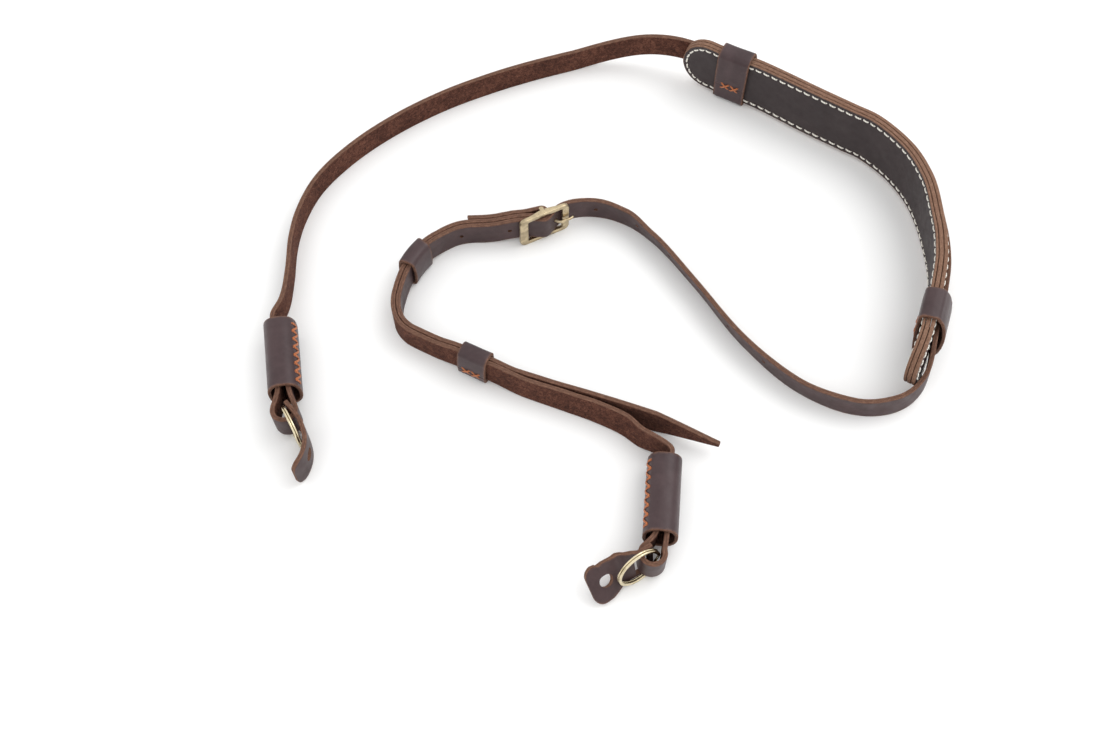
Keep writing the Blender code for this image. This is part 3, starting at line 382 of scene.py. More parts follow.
class Route:
    """A smooth plan line with a lean and a lift at each arc length."""

    def __init__(self, knots, leans, lifts=None):
        self.points, at_knot = smooth_line(knots)
        self.lengths = running_lengths(self.points)
        self.knots = [self.lengths[index] for index in at_knot]
        self.leans = leans
        self.lifts = lifts
        self.holds = []
        self.set_stations()

    @property
    def length(self):
        return self.lengths[-1]

    def span(self, place):
        index = bisect_right(self.lengths, place) - 1
        return min(max(index, 0), len(self.lengths) - 2)

    def point(self, place):
        index = self.span(place)
        run = self.lengths[index + 1] - self.lengths[index]
        share = (place - self.lengths[index]) / run
        return self.points[index].lerp(self.points[index + 1], share)

    def ahead(self, place):
        """Direction of the line, averaged over a few points so that it turns evenly."""
        index = self.span(place)
        behind = self.points[max(index - 2, 0)]
        before = self.points[min(index + 3, len(self.points) - 1)]
        return (before - behind).normalized()

    def between_knots(self, values, place):
        index = min(max(bisect_right(self.knots, place) - 1, 0), len(self.knots) - 2)
        run = self.knots[index + 1] - self.knots[index]
        share = ease((place - self.knots[index]) / run)
        return values[index] + (values[index + 1] - values[index]) * share

    def lean(self, place):
        return math.radians(self.between_knots(self.leans, place))

    def hold(self, start, end, lift, run_in, run_out):
        """Keep the strap at this lift from start to end, easing in and out."""
        self.holds.append((start, end, lift, run_in, run_out))

    def lift(self, place):
        if self.lifts:
            return self.between_knots(self.lifts, place)
        highest = 0.0
        for start, end, lift, run_in, run_out in self.holds:
            share = 1.0
            if place < start:
                share = ease(1 - (start - place) / run_in)
            elif place > end:
                share = ease(1 - (place - end) / run_out)
            highest = max(highest, lift(place) * share if callable(lift) else lift * share)
        return max(highest, STRAP_THICKNESS / 2 * math.sin(abs(self.lean(place))))

    def frame(self, place):
        """Foot of the cross-section, its direction aside and its direction up."""
        aside = left_of(self.ahead(place))
        lean = self.lean(place)
        foot = self.point(place) + UP * self.lift(place)
        across = aside * math.cos(lean) - UP * math.sin(lean)
        return foot, across, UP * math.cos(lean) + aside * math.sin(lean)

    def set_stations(self):
        """Places for cross-sections, closer together where the route bends."""
        self.shared = [0.0]
        heading = self.ahead(0.0)
        for place in self.lengths:
            ahead = self.ahead(place)
            if place - self.shared[-1] >= LONGEST_STEP or heading.angle(ahead) >= LARGEST_TURN:
                self.shared.append(place)
                heading = ahead

    def stations(self, start, end, extra=()):
        """The shared places from start to end, with both ends and any extra ones."""
        fixed = sorted({start, end, *extra})
        inside = [place for place in self.shared if start < place < end]
        kept = [place for place in inside if min(abs(place - other) for other in fixed) > DENSE_STEP]
        return sorted([*fixed, *kept])


class Buckle:
    """Place of the buckle: its own east and front directions on the plan."""

    middle = plan_point(BUCKLE_ACROSS, BUCKLE_AWAY)
    east = Vector((math.cos(BUCKLE_TURN), math.sin(BUCKLE_TURN), 0.0))
    front = Vector((math.sin(BUCKLE_TURN), -math.cos(BUCKLE_TURN), 0.0))
    left_edge = -BUCKLE_LENGTH / 2 + BUCKLE_LEFT_BAR
    right_edge = BUCKLE_LENGTH / 2 - BUCKLE_RIGHT_BAR
    behind_bars = -(FIT_GAP + STRAP_THICKNESS / 2)
    wrap_radius = CENTRE_BAR / 2 + FIT_GAP + STRAP_THICKNESS / 2
    before_bar = -BUCKLE_BOW + wrap_radius + PAIR_STEP

    @classmethod
    def place(cls, east, front, height=0.0):
        return cls.middle + cls.east * east + cls.front * front + UP * height

    @classmethod
    def strap_points(cls):
        """Main strap: behind one end bar, before the centre bar, behind the other."""
        half_way = (cls.behind_bars + cls.before_bar) / 2
        return (
            cls.place(cls.right_edge, cls.behind_bars),
            cls.place(cls.right_edge / 2, half_way),
            cls.place(0.0, cls.before_bar),
            cls.place(cls.left_edge / 2, half_way),
            cls.place(cls.left_edge, cls.behind_bars),
        )


class End:
    """Place of a sleeve, its fold and its ring."""

    def __init__(self, name):
        across, away, heading, self.hand, fold_aside, fold_reach, ring_turn, lean = ENDS[name]
        angle = math.radians(heading)
        self.mouth = plan_point(across, away)
        self.ahead = Vector((math.cos(angle), math.sin(angle), 0.0))
        self.to_ring = left_of(self.ahead) * self.hand
        self.fold = self.place(fold_aside * FOLD_RADIUS, fold_reach * FOLD_RADIUS)
        turn = math.radians(ring_turn)
        self.ring_way = self.ahead * math.cos(turn) + self.to_ring * math.sin(turn)
        self.flap_side = self.to_ring * math.cos(turn) - self.ahead * math.sin(turn)
        tilt = math.radians(lean)
        self.ring_up = UP * math.cos(tilt) + self.flap_side * math.sin(tilt)
        self.ring_side = self.flap_side * math.cos(tilt) - UP * math.sin(tilt)

    def place(self, aside, reach):
        return self.mouth + self.to_ring * aside + self.ahead * reach

    def leg(self, side):
        """Points of one leg inside the sleeve, from its far end to its mouth."""
        reaches = (LEG_END_INSET - SLEEVE_LENGTH, -SLEEVE_LENGTH / 2, 0.0)
        if side < 0:
            reaches = (-SLEEVE_LENGTH - 1.5 * STRAP_THICKNESS, 0.5 * STRAP_THICKNESS - SLEEVE_LENGTH, 0.0)
        return [self.place(side * LEG_SPREAD / 2, reach) for reach in reaches]

    def fold_points(self):
        """Open round fold, from the main leg's side to the short leg's side."""
        steps = 10
        points = []
        for step in range(steps + 1):
            angle = math.radians(200 - 220 * step / steps)
            aside = self.to_ring * math.cos(angle) * FOLD_RADIUS
            points.append(self.fold + aside + self.ahead * math.sin(angle) * FOLD_RADIUS)
        return points

    def knots(self):
        """From the far end of the main leg, round the fold, to the short leg's end."""
        return self.leg(-1) + self.fold_points() + list(reversed(self.leg(1)))

    def ring_centre(self):
        """The ring stands on its rim, and the fold passes just inside its wire."""
        level = self.ring_up.z * RING_OUTSIDE / 2
        tall = (HALF_STRAP + abs(level - SLEEVE_MIDDLE)) / self.ring_up.z + FIT_GAP
        half_chord = math.sqrt((RING_INSIDE / 2) ** 2 - tall ** 2)
        bulge = (tall * self.ring_side.z) ** 2 / (2 * FOLD_RADIUS)
        reach = FOLD_RADIUS + half_chord - STRAP_THICKNESS / 2 - 2 * FIT_GAP - bulge
        share = RING_ASIDE_SHARE * self.flap_side.dot(self.ring_up)
        clear_of_flap = self.flap_side * (HALF_STRAP * share)
        return self.fold + self.ring_way * reach - clear_of_flap + UP * level


def main_route(end):
    """The main strap from its short leg in the left sleeve to its tip."""
    knots = list(reversed(end.knots()))
    leans = [0.0] * len(knots)
    names = {}
    for name, across, away, lean in MAIN_ROUTE:
        if name == "buckle":
            knots.extend(Buckle.strap_points())
            leans.extend([lean] * len(Buckle.strap_points()))
            names[name] = len(knots) - 3
        else:
            knots.append(plan_point(across, away))
            leans.append(lean)
            names[name] = len(knots) - 1
    route = Route(knots, leans)
    marks = {name: route.knots[index] for name, index in names.items() if name}
    marks["sleeve end"] = route.knots[len(end.knots()) - 1]
    marks["pad end"] = marks["pad"] + PAD_LENGTH
    marks["left pad keeper"] = marks["pad"] + LEFT_KEEPER_INSET + PAD_KEEPER_LENGTH / 2
    marks["right pad keeper"] = marks["pad end"] - RIGHT_KEEPER_INSET - PAD_KEEPER_LENGTH / 2
    lift_along(route, marks)
    return route, marks


def lift_beside_pad(route):
    """Lift of the strap beside the pad, whose loops rest on the table, leaning or not."""
    before = STRAP_THICKNESS / 2 + LAYER_GAP + PAD_THICKNESS + KEEPER_LIFT
    behind = STRAP_THICKNESS / 2 + PAD_KEEPER_ROOM + KEEPER_LIFT

    def lift(place):
        lean = route.lean(place)
        stack = behind if lean > 0 else before
        return KEEPER_LIFT + stack * math.sin(abs(lean)) + PAD_BELOW * math.cos(lean)

    return lift


def pad_frame(route, place):
    """The pad reaches below and above the strap it is held to."""
    foot, aside, up = route.frame(place)
    return foot - up * PAD_BELOW, aside, up


def lift_along(route, marks):
    keep = STRAP_KEEPER_LENGTH / 2
    last_hold = marks["right pad keeper"] + PAD_KEEPER_LENGTH / 2
    route.hold(0.0, marks["sleeve end"], SLEEVE_LIFT, SLEEVE_LIFT, SLEEVE_LIFT * LIFT_EASING)
    route.hold(marks["pad"], last_hold, lift_beside_pad(route), PAD_RISE_RUN, PAD_FALL_RUN)
    half = BUCKLE_LENGTH / 2
    run = BUCKLE_LIFT * LIFT_EASING
    route.hold(marks["buckle"] - half, marks["buckle"] + half, BUCKLE_LIFT, run, run)
    for name in ("upper keeper", "lower keeper"):
        run = KEEPER_LIFT * LIFT_EASING
        route.hold(marks[name] - keep, marks[name] + keep, KEEPER_LIFT, run, run)


def buckle_route(main, marks, end):
    """The short strap: folded end, buckle bar, beside the main strap, right sleeve."""
    wrap = []
    steps = 6
    for step in range(steps + 1):
        angle = math.radians(-90 + 180 * step / steps)
        east = Buckle.wrap_radius * math.cos(angle)
        front = -BUCKLE_BOW + Buckle.wrap_radius * math.sin(angle)
        wrap.append(Buckle.place(east, front))
    shared = []
    place = marks["buckle"]
    while place < marks["parting"] - KNOT_STRIDE:
        place += KNOT_STRIDE
        shared.append(place)
    fold_places = [place for place in shared if place - marks["buckle"] < FOLD_BACK]
    knots = []
    leans = []
    lifts = []

    def add(point, lean, lift):
        knots.append(point)
        leans.append(lean)
        lifts.append(lift)

    def add_beside(place, steps_aside):
        foot, aside, _ = main.frame(place)
        foot = foot - aside * PAIR_STEP * steps_aside
        add(Vector((foot.x, foot.y, 0.0)), math.degrees(main.lean(place)), foot.z)

    for place in reversed(fold_places[1:]):
        add_beside(place, 2)
    for point in wrap:
        add(point, 0.0, BUCKLE_LIFT)
    wrapped = len(knots) - 1 - steps // 2
    for place in shared:
        add_beside(place, 1)
    for across, away, lean in BUCKLE_STRAP_ROUTE:
        add(plan_point(across, away), lean, STRAP_THICKNESS / 2 * math.sin(math.radians(lean)))
    lifts[-1] = SLEEVE_LIFT * LOW_BEFORE_SLEEVE
    for point in end.knots():
        add(point, 0.0, SLEEVE_LIFT)
    route = Route(knots, leans, lifts)
    return route, route.knots[wrapped]


def tongue_hole(marks):
    """Place of the hole that the tongue goes through."""
    return marks["buckle"] - Buckle.right_edge * TONGUE_HOLE_SHARE


def tongue_points(route, marks):
    """An eye round the centre bar, then through the strap and over the right bar."""
    height = BUCKLE_HEIGHT / 2
    eye = CENTRE_BAR / 2 + FIT_GAP + TONGUE / 2
    points = []
    for step in range(EYE_STEPS + 1):
        angle = math.radians(300 - 300 * step / EYE_STEPS)
        east = eye * math.cos(angle)
        front = -BUCKLE_BOW + eye * math.sin(angle)
        points.append(Buckle.place(east, front, height))
    hole = route.point(tongue_hole(marks)) + UP * height
    over = BUCKLE_THICKNESS + FIT_GAP + TONGUE / 2
    points.append(hole)
    points.append(Buckle.place(Buckle.right_edge - TONGUE, over, height))
    points.append(Buckle.place(Buckle.right_edge + TONGUE / 2, over + FIT_GAP, height))
    points.append(Buckle.place(BUCKLE_LENGTH / 2, over + FIT_GAP, height))
    points.append(Buckle.place(BUCKLE_LENGTH / 2 + TONGUE_OVERHANG, over - FIT_GAP, height))
    return points


def pad_end_frame(route, marks, place):
    """Past its last loop the pad goes its own way, bending a little."""
    last = marks["right pad keeper"] + PAD_KEEPER_LENGTH / 2
    if place <= last:
        return pad_frame(route, place)
    foot, aside, up = pad_frame(route, last)
    share = (place - last) / (marks["pad end"] - last)
    swing = Matrix.Rotation(-PAD_END_TURN * share, 3, "Z")
    half_swing = Matrix.Rotation(-PAD_END_TURN * share / 2, 3, "Z")
    foot = foot + half_swing @ route.ahead(last) * (place - last)
    return foot, swing @ aside, swing @ up


def carrier(frame_at):
    """Point at a place, an offset aside and a height, from frames that are worked out once."""
    known = {}

    def at(place, aside, height):
        if place not in known:
            known[place] = frame_at(place)
        foot, across, up = known[place]
        return foot + across * aside + up * height

    return at


class Skin:
    """Closed mesh put together from swept rows, with its own zones and lengths."""

    def __init__(self, name, materials, shift):
        self.name = name
        self.materials = materials
        self.shift = shift
        self.shape = bmesh.new()
        self.lay = self.shape.loops.layers.uv.new("UVMap")

    def face(self, corners, marks, zone):
        made = self.shape.faces.new(corners)
        made.material_index = zone
        made.smooth = True
        for loop, mark in zip(made.loops, marks):
            loop[self.lay].uv = mark

    def sweep(self, rows, zones, around=True, endless=False):
        """rows holds (length, [(point, from edge, depth)]), and zones one number for each span."""
        grid = [[self.shape.verts.new(item[0]) for item in row] for _, row in rows]
        count = len(grid[0])
        spans = count if around else count - 1
        for here in range(len(rows) if endless else len(rows) - 1):
            there = (here + 1) % len(rows)
            for index in range(spans):
                after = (index + 1) % count
                which = 2 if zones[index] == EDGE else 1
                places = ((here, index), (here, after), (there, after), (there, index))
                marks = [(rows[row][0], rows[row][1][column][which]) for row, column in places]
                if endless and there == 0:
                    step = rows[1][0] - rows[0][0]
                    marks[2] = (rows[here][0] + step, marks[2][1])
                    marks[3] = (rows[here][0] + step, marks[3][1])
                self.face([grid[row][column] for row, column in places], marks, zones[index])
        if not endless:
            for row in (0, -1):
                marks = [(item[1] * MM, item[2]) for item in rows[row][1]]
                self.face(grid[row], marks, EDGE if len(self.materials) > 1 else 0)

    def finish(self, merge=0.0):
        if merge:
            bmesh.ops.remove_doubles(self.shape, verts=self.shape.verts, dist=merge)
        bmesh.ops.recalc_face_normals(self.shape, faces=self.shape.faces)
        mesh = bpy.data.meshes.new(self.name)
        self.shape.to_mesh(mesh)
        self.shape.free()
        mesh.transform(Matrix.Translation(self.shift))
        for material in self.materials:
            mesh.materials.append(material)
        item = bpy.data.objects.new(self.name, mesh)
        bpy.context.scene.collection.objects.link(item)
        return item


def strip_zones():
    corner = [EDGE] * (2 * CORNER_STEPS + 1)
    return [SMOOTH] * FACE_STEPS + corner + [SUEDE] * FACE_STEPS + corner


def strip_section(thick, low, high):
    """(aside, height, millimetres from the edge, depth) round a strip with softened corners."""
    half = thick / 2
    soft = max(min(SOFT_EDGE, 0.9 * half, 0.45 * (high - low)), SHEER)
    spots = []
    for side in (1, -1):
        bottom = low if side > 0 else high
        top = high if side > 0 else low
        rise = 1 if side > 0 else -1
        for step in range(FACE_STEPS):
            share = step / FACE_STEPS
            height = bottom + rise * soft + (top - bottom - 2 * rise * soft) * share
            spots.append((side * half, height))
        for step in range(CORNER_STEPS + 1):
            angle = math.pi / 2 * step / CORNER_STEPS
            aside = side * (half - soft + soft * math.cos(angle))
            height = top - rise * (soft - soft * math.sin(angle))
            spots.append((aside, height))
        for step in range(CORNER_STEPS):
            angle = math.pi / 2 * step / CORNER_STEPS
            aside = -side * (half - soft + soft * math.sin(angle))
            height = top - rise * (soft - soft * math.cos(angle))
            spots.append((aside, height))
    section = []
    for aside, height in spots:
        from_edge = min(height - low, high - height) / MM
        section.append((aside, height, from_edge, (half - aside) / max(thick, SHEER)))
    return section


def end_stops(start, end):
    """Places close to both ends, where a strip's end is softened."""
    turns = [math.pi / 2 * step / CORNER_STEPS for step in range(1, CORNER_STEPS + 1)]
    steps = [SOFT_EDGE * (1 - math.cos(turn)) for turn in turns]
    return [start + step for step in steps] + [end - step for step in steps]


def end_inset(place, start, end):
    """How far the section draws in on all sides near an end."""
    from_end = min(place - start, end - place)
    if from_end >= SOFT_EDGE:
        return 0.0
    return SOFT_EDGE - math.sqrt(max(SOFT_EDGE ** 2 - (SOFT_EDGE - from_end) ** 2, 0.0))


def band_rows(at, places, edges, thickness, shear=None, waver=0.0):
    """Rows of a strip's sections. waver is how far its edges stray, as hand-cut ones do."""
    start = places[0]
    end = places[-1]
    rows = []
    for place in places:
        inset = end_inset(place, start, end)
        low, high = edges(place)
        stray = [noise.noise(Vector((place * 60, side * 7.3, 0.0))) * waver for side in (0, 1)]
        row = []
        section = strip_section(thickness - 2 * inset, low + inset + stray[0], high - inset + stray[1])
        for aside, height, from_edge, depth in section:
            spot = place if shear is None else place + shear(place, height)
            row.append((at(spot, aside, height), from_edge, depth))
        rows.append((place, row))
    return rows


def cylinder(name, centre, axis, diameter, length):
    bpy.ops.mesh.primitive_cylinder_add(vertices=28, radius=diameter / 2, depth=length)
    made = bpy.context.object
    made.name = name
    turn = UP.rotation_difference(axis).to_matrix().to_4x4()
    made.matrix_world = Matrix.Translation(centre) @ turn
    return made


def box(name, centre, along, size):
    bpy.ops.mesh.primitive_cube_add(size=1)
    made = bpy.context.object
    made.name = name
    made.data.transform(Matrix.Diagonal((*size, 1.0)))
    side = UP.cross(along).normalized()
    over = along.cross(side).normalized()
    made.matrix_world = Matrix.Translation(centre) @ Matrix((along, side, over)).transposed().to_4x4()
    return made


def carve(item, cutters, shift):
    """Cut the holes, and leave a plain mesh with raw leather in them."""
    flat = item.modifiers.new("flat faces", "TRIANGULATE")
    flat.quad_method = "BEAUTY"
    for cutter in cutters:
        for face in cutter.data.polygons:
            face.material_index = EDGE
    combine(item, cutters, "DIFFERENCE", shift)


def combine(item, others, operation, shift):
    """Cut the others from an item, or join them to it, with its materials."""
    for other in others:
        other.matrix_world = Matrix.Translation(shift) @ other.matrix_world
        for material in item.data.materials:
            other.data.materials.append(material)
        step = item.modifiers.new(other.name, "BOOLEAN")
        step.operation = operation
        step.solver = "EXACT"
        step.object = other
    apply_modifiers(item)
    for other in others:
        bpy.data.objects.remove(other, do_unlink=True)


def apply_modifiers(item):
    bpy.context.view_layer.update()
    graph = bpy.context.evaluated_depsgraph_get()
    plain = bpy.data.meshes.new_from_object(item.evaluated_get(graph))
    item.modifiers.clear()
    item.data = plain
    plain.shade_smooth()
    plain.set_sharp_from_angle(angle=math.radians(50))


def strap_edges(route, tail=0.0):
    """Lower and upper edge heights of a strap, narrowing to a point over its tail."""

    def edges(place):
        half = HALF_STRAP
        if route.length - place < tail:
            share = (route.length - place) / tail
            half = TAIL_TIP / 2 + (HALF_STRAP - TAIL_TIP / 2) * share
        return HALF_STRAP - half, HALF_STRAP + half

    return edges


def main_strap(route, marks, leathers, shift):
    at = carrier(route.frame)
    taper = route.length - TAIL_TAPER
    places = route.stations(0.0, route.length, [taper, *end_stops(0.0, route.length)])
    skin = Skin("main_strap_leather", leathers, shift)
    rows = band_rows(at, places, strap_edges(route, TAIL_TAPER), STRAP_THICKNESS, waver=EDGE_WAVER)
    skin.sweep(rows, strip_zones())
    strap = skin.finish()
    cutters = []
    used = tongue_hole(marks)
    for number in range(-HOLES_BEFORE, HOLES_AFTER + 1):
        if number == 0:
            continue
        foot, aside, up = route.frame(used + number * HOLE_PITCH)
        name = f"strap_hole_{number + HOLES_BEFORE}"
        cutters.append(cylinder(name, foot + up * HALF_STRAP, aside, HOLE_DIAMETER, 3 * STRAP_THICKNESS))
    points = tongue_points(route, marks)
    crossing = EYE_STEPS + 1
    way = (points[crossing + 1] - points[crossing - 1]).normalized()
    wide = TONGUE + 3 * FIT_GAP
    cutters.append(cylinder("tongue_hole", points[crossing], way, wide, 5 * STRAP_THICKNESS))
    carve(strap, cutters, shift)
    return strap


def buckle_strap(route, wrapped, leathers, shift):
    at = carrier(route.frame)
    start = wrapped - FOLD_BACK

    def shear(place, height):
        share = max(0.0, 1 - (place - start) / (2 * FOLD_BACK_SLANT))
        return FOLD_BACK_SLANT * share * (1 - height / STRAP_WIDTH)

    places = route.stations(start, route.length, end_stops(start, route.length))
    skin = Skin("buckle_strap_leather", leathers, shift)
    rows = band_rows(at, places, strap_edges(route), STRAP_THICKNESS, shear=shear, waver=EDGE_WAVER)
    skin.sweep(rows, strip_zones())
    strap = skin.finish()
    centre = Buckle.place(0.0, -BUCKLE_BOW, BUCKLE_HEIGHT / 2)
    reach = 2 * (Buckle.wrap_radius + STRAP_THICKNESS)
    carve(strap, [box("tongue_slot", centre, Buckle.east, (reach, reach, TONGUE + 4 * FIT_GAP))], shift)
    return strap


def stadium_spot(share_round, inset):
    """Point of the pad's outline at a share of its length round, drawn in by an inset."""
    radius = PAD_WIDTH / 2
    straight = PAD_LENGTH - PAD_WIDTH
    way = (share_round % 1.0) * PAD_ROUND
    reach = radius - inset
    if way < straight:
        return radius + way, radius - reach
    way -= straight
    if way < math.pi * radius:
        angle = way / radius - math.pi / 2
        return PAD_LENGTH - radius + reach * math.cos(angle), radius + reach * math.sin(angle)
    way -= math.pi * radius
    if way < straight:
        return PAD_LENGTH - radius - way, radius + reach
    way -= straight
    angle = way / radius + math.pi / 2
    return radius + reach * math.cos(angle), radius + reach * math.sin(angle)


def pad_plate(name, at, start, middle, thickness, leathers, shift, groove_front, groove_back):
    """Plate with round ends: rows run round its outline, and each goes from middle to middle."""
    half = thickness / 2
    soft = min(SOFT_EDGE, 0.4 * thickness)
    radius = PAD_WIDTH / 2
    insets = [soft]
    for edge in (-GROOVE_WIDTH, -GROOVE_WIDTH / 3, 0.0, GROOVE_WIDTH / 3, GROOVE_WIDTH):
        insets.append(PAD_STITCH_INSET + edge)
    insets.extend([0.36 * radius, 0.55 * radius, 0.78 * radius, radius])

    def relief(inset, grooved, crown):
        height = crown * ease((inset - PAD_STITCH_INSET) / (radius - PAD_STITCH_INSET) * 1.6)
        if grooved:
            near = max(0.0, 1 - abs(inset - PAD_STITCH_INSET) / GROOVE_WIDTH)
            height -= GROOVE_DEPTH * ease(near)
        return height

    profile = []
    crown = PAD_CROWN if groove_front else 0.0
    for inset in reversed(insets):
        profile.append((inset, -half - relief(inset, groove_front, crown), SMOOTH))
    for step in range(CORNER_STEPS):
        angle = math.pi / 2 * (step + 1) / CORNER_STEPS
        profile.append((soft - soft * math.sin(angle), -half + soft - soft * math.cos(angle), EDGE))
    for step in range(CORNER_STEPS + 1):
        angle = math.pi / 2 * step / CORNER_STEPS
        profile.append((soft - soft * math.cos(angle), half - soft + soft * math.sin(angle), EDGE))
    for inset in insets[1:]:
        profile.append((inset, half + relief(inset, groove_back, 0.0), SUEDE))
    zones = [zone for _, _, zone in profile[1:]]
    count = round(PAD_ROUND / PAD_STEP)
    rows = []
    for step in range(count):
        row = []
        for inset, aside, _ in profile:
            reach, height = stadium_spot(step / count, inset)
            depth = (aside + half) / thickness
            row.append((at(start + reach, middle + aside, height), inset / MM, depth))
        rows.append((PAD_ROUND * step / count, row))
    skin = Skin(name, leathers, shift)
    skin.sweep(rows, zones, around=False, endless=True)
    return skin.finish(merge=SHEER)


def pad_layers(route, marks, leathers, shift):
    at = carrier(lambda place: pad_end_frame(route, marks, place))
    start = marks["pad"]
    made = {}
    aside_from = -STRAP_THICKNESS / 2
    for name, thickness in (("pad_back", PAD_BACK), ("pad_core", PAD_CORE), ("pad_front", PAD_FRONT)):
        middle = aside_from - LAYER_GAP - thickness / 2
        aside_from -= LAYER_GAP + thickness
        grooved = (name == "pad_front", name == "pad_back")
        label = name + "_leather"
        made[name] = pad_plate(label, at, start, middle, thickness, leathers[name], shift, *grooved)
    return made


def stitch_rows(points, normals, radius, length):
    """Rows round a thread that follows the points, flattened a little towards the leather."""
    rows = []
    for index, point in enumerate(points):
        way = way_at(points, index)
        side = way.cross(normals[index]).normalized()
        over = side.cross(way)
        end = min(index, len(points) - 1 - index)
        thin = radius * (0.55 if end == 0 else 1.0)
        row = []
        for step in range(THREAD_SIDES):
            share = step / THREAD_SIDES
            angle = math.tau * step / THREAD_SIDES
            offset = side * math.cos(angle) * thin * 1.1 + over * math.sin(angle) * thin * 0.85
            row.append((point + offset, share, share))
        rows.append((length * index / (len(points) - 1), row))
    return rows


def lay_stitch(skin, spot_at, first, second, thread, lift=0.0):
    """Thread that comes out of the leather at one spot and goes in at the other.

    spot_at gives the point and the outward direction at a spot on the leather.
    """
    steps = 8
    points = []
    normals = []
    for step in range(steps + 1):
        share = step / steps
        way = abs(2 * share - 1)
        spot = tuple(a + (b - a) * share for a, b in zip(first, second))
        point, normal = spot_at(*spot)
        rise = thread * (0.40 - 0.95 * way ** 4) + lift
        points.append(point + normal * rise)
        normals.append(normal)
    length = (points[-1] - points[0]).length
    skin.sweep(stitch_rows(points, normals, thread / 2, length), [0] * THREAD_SIDES)


def pad_stitches(name, route, marks, face_aside, outward, keep, thread, shift):
    """Saddle stitches round the pad. outward is -1 on its front and 1 on its back."""
    at = carrier(lambda place: pad_end_frame(route, marks, place))
    start = marks["pad"]
    count = round(PAD_ROUND / PAD_STITCH_PITCH)
    half = PAD_STITCH_LENGTH / PAD_ROUND / 2
    rng = random.Random(7)
    skin = Skin(name, [thread], shift)

    def spot_at(share, inset):
        reach, height = stadium_spot(share, inset)
        place = start + reach
        point = at(place, face_aside - outward * GROOVE_DEPTH * 0.6, height)
        side = at(place, outward * MM, height) - at(place, 0.0, height)
        return point, side.normalized()

    for number in range(count):
        share = number / count
        reach, height = stadium_spot(share, PAD_STITCH_INSET)
        if not keep(start + reach, height):
            continue
        slip = rng.uniform(-0.04, 0.04) / count
        slant = 0.16 * MM * outward
        first = (share - half + slip, PAD_STITCH_INSET - slant)
        second = (share + half + slip, PAD_STITCH_INSET + slant)
        lay_stitch(skin, spot_at, first, second, PAD_THREAD)
    return skin.finish()


class Outline:
    """Line that a loop of leather is bent round, with its outward directions."""

    def __init__(self, spots, normals):
        self.spots = spots
        self.normals = normals
        self.lengths = running_lengths(spots)

    def at(self, way):
        index = min(max(bisect_right(self.lengths, way) - 1, 0), len(self.lengths) - 2)
        run = self.lengths[index + 1] - self.lengths[index]
        share = (way - self.lengths[index]) / run
        spot = self.spots[index].lerp(self.spots[index + 1], share)
        return spot, self.normals[index].lerp(self.normals[index + 1], share).normalized()


def rounded_outline(corners, seam, bulge):
    """Outline with rounded corners, open at a seam on its closing edge, with bowed sides.

    Each corner is (aside, height, radius), in order round the left-turning
    outline. The seam is a share of the edge from the last corner to the first.
    """
    spots = []
    normals = []
    corner_spots = [Vector(corner[:2]) for corner in corners]
    arcs = []
    steps = 6
    for index, spot in enumerate(corner_spots):
        radius = corners[index][2]
        come = (spot - corner_spots[index - 1]).normalized()
        leave = (corner_spots[(index + 1) % len(corners)] - spot).normalized()
        turn = math.atan2(come.x * leave.y - come.y * leave.x, come.dot(leave))
        start = spot - come * radius * math.tan(turn / 2)
        outward = Vector((come.y, -come.x))
        centre = start - outward * radius
        arc = []
        for step in range(steps + 1):
            swung = Matrix.Rotation(turn * step / steps, 2) @ outward
            arc.append((centre + swung * radius, swung))
        arcs.append(arc)

    def bowed(start, run, tip, share):
        """Spot on a side that bows outwards, but not into the table."""
        bow = bulge * math.sin(math.pi * share) * min(1.0, run.length / (8 * MM))
        return start + run * share + tip * (bow if tip.y > -0.5 else 0.0)

    def add_side(first, second, parts):
        run = second[0] - first[0]
        tip = (first[1] + second[1]).normalized()
        for part in range(1, parts):
            spots.append(bowed(first[0], run, tip, part / parts))
            normals.append(tip)

    last = arcs[-1][-1][0]
    closing = arcs[0][0][0] - last
    half_gap = closing.normalized() * SEAM_GAP / 2
    tip = arcs[0][0][1]
    spots.append(bowed(last, closing, tip, seam) + half_gap)
    normals.append(tip)
    low_parts = max(2, round((1 - seam) * closing.length / LOOP_STEP))
    high_parts = max(2, round(seam * closing.length / LOOP_STEP))
    for part in range(1, low_parts):
        spots.append(bowed(last, closing, tip, seam + (1 - seam) * part / low_parts))
        normals.append(tip)
    for index, arc in enumerate(arcs):
        for spot, normal in arc:
            spots.append(spot)
            normals.append(normal)
        if index < len(arcs) - 1:
            gap = (arcs[index + 1][0][0] - arc[-1][0]).length
            add_side(arc[-1], arcs[index + 1][0], max(2, round(gap / LOOP_STEP)))
    for part in range(1, high_parts):
        spots.append(bowed(last, closing, tip, seam * part / high_parts))
        normals.append(tip)
    spots.append(bowed(last, closing, tip, seam) - half_gap)
    normals.append(tip)
    return Outline(spots, normals)


def loop_rows(at, outline, start, end, wall):
    """Rows of a strip bent round an outline. Its width runs along the place."""
    rows = []
    for spot, normal, way in zip(outline.spots, outline.normals, outline.lengths):
        row = []
        for out, place, from_edge, depth in strip_section(wall, start, end):
            reach = out + wall / 2
            point = at(place, spot.x + normal.x * reach, spot.y + normal.y * reach)
            row.append((point, from_edge, depth))
        rows.append((way, row))
    return rows


def loop_spot(at, outline, wall):
    """Point and outward direction on a loop's smooth side, at a way round it and a place.

    Ways past an end of the outline are carried on from its other end.
    """
    total = outline.lengths[-1] + SEAM_GAP

    def spot_at(way, place):
        spot, normal = outline.at(way % total)
        low = at(place, spot.x, spot.y)
        high = at(place, spot.x + normal.x * wall, spot.y + normal.y * wall)
        return high, (high - low).normalized()

    return spot_at


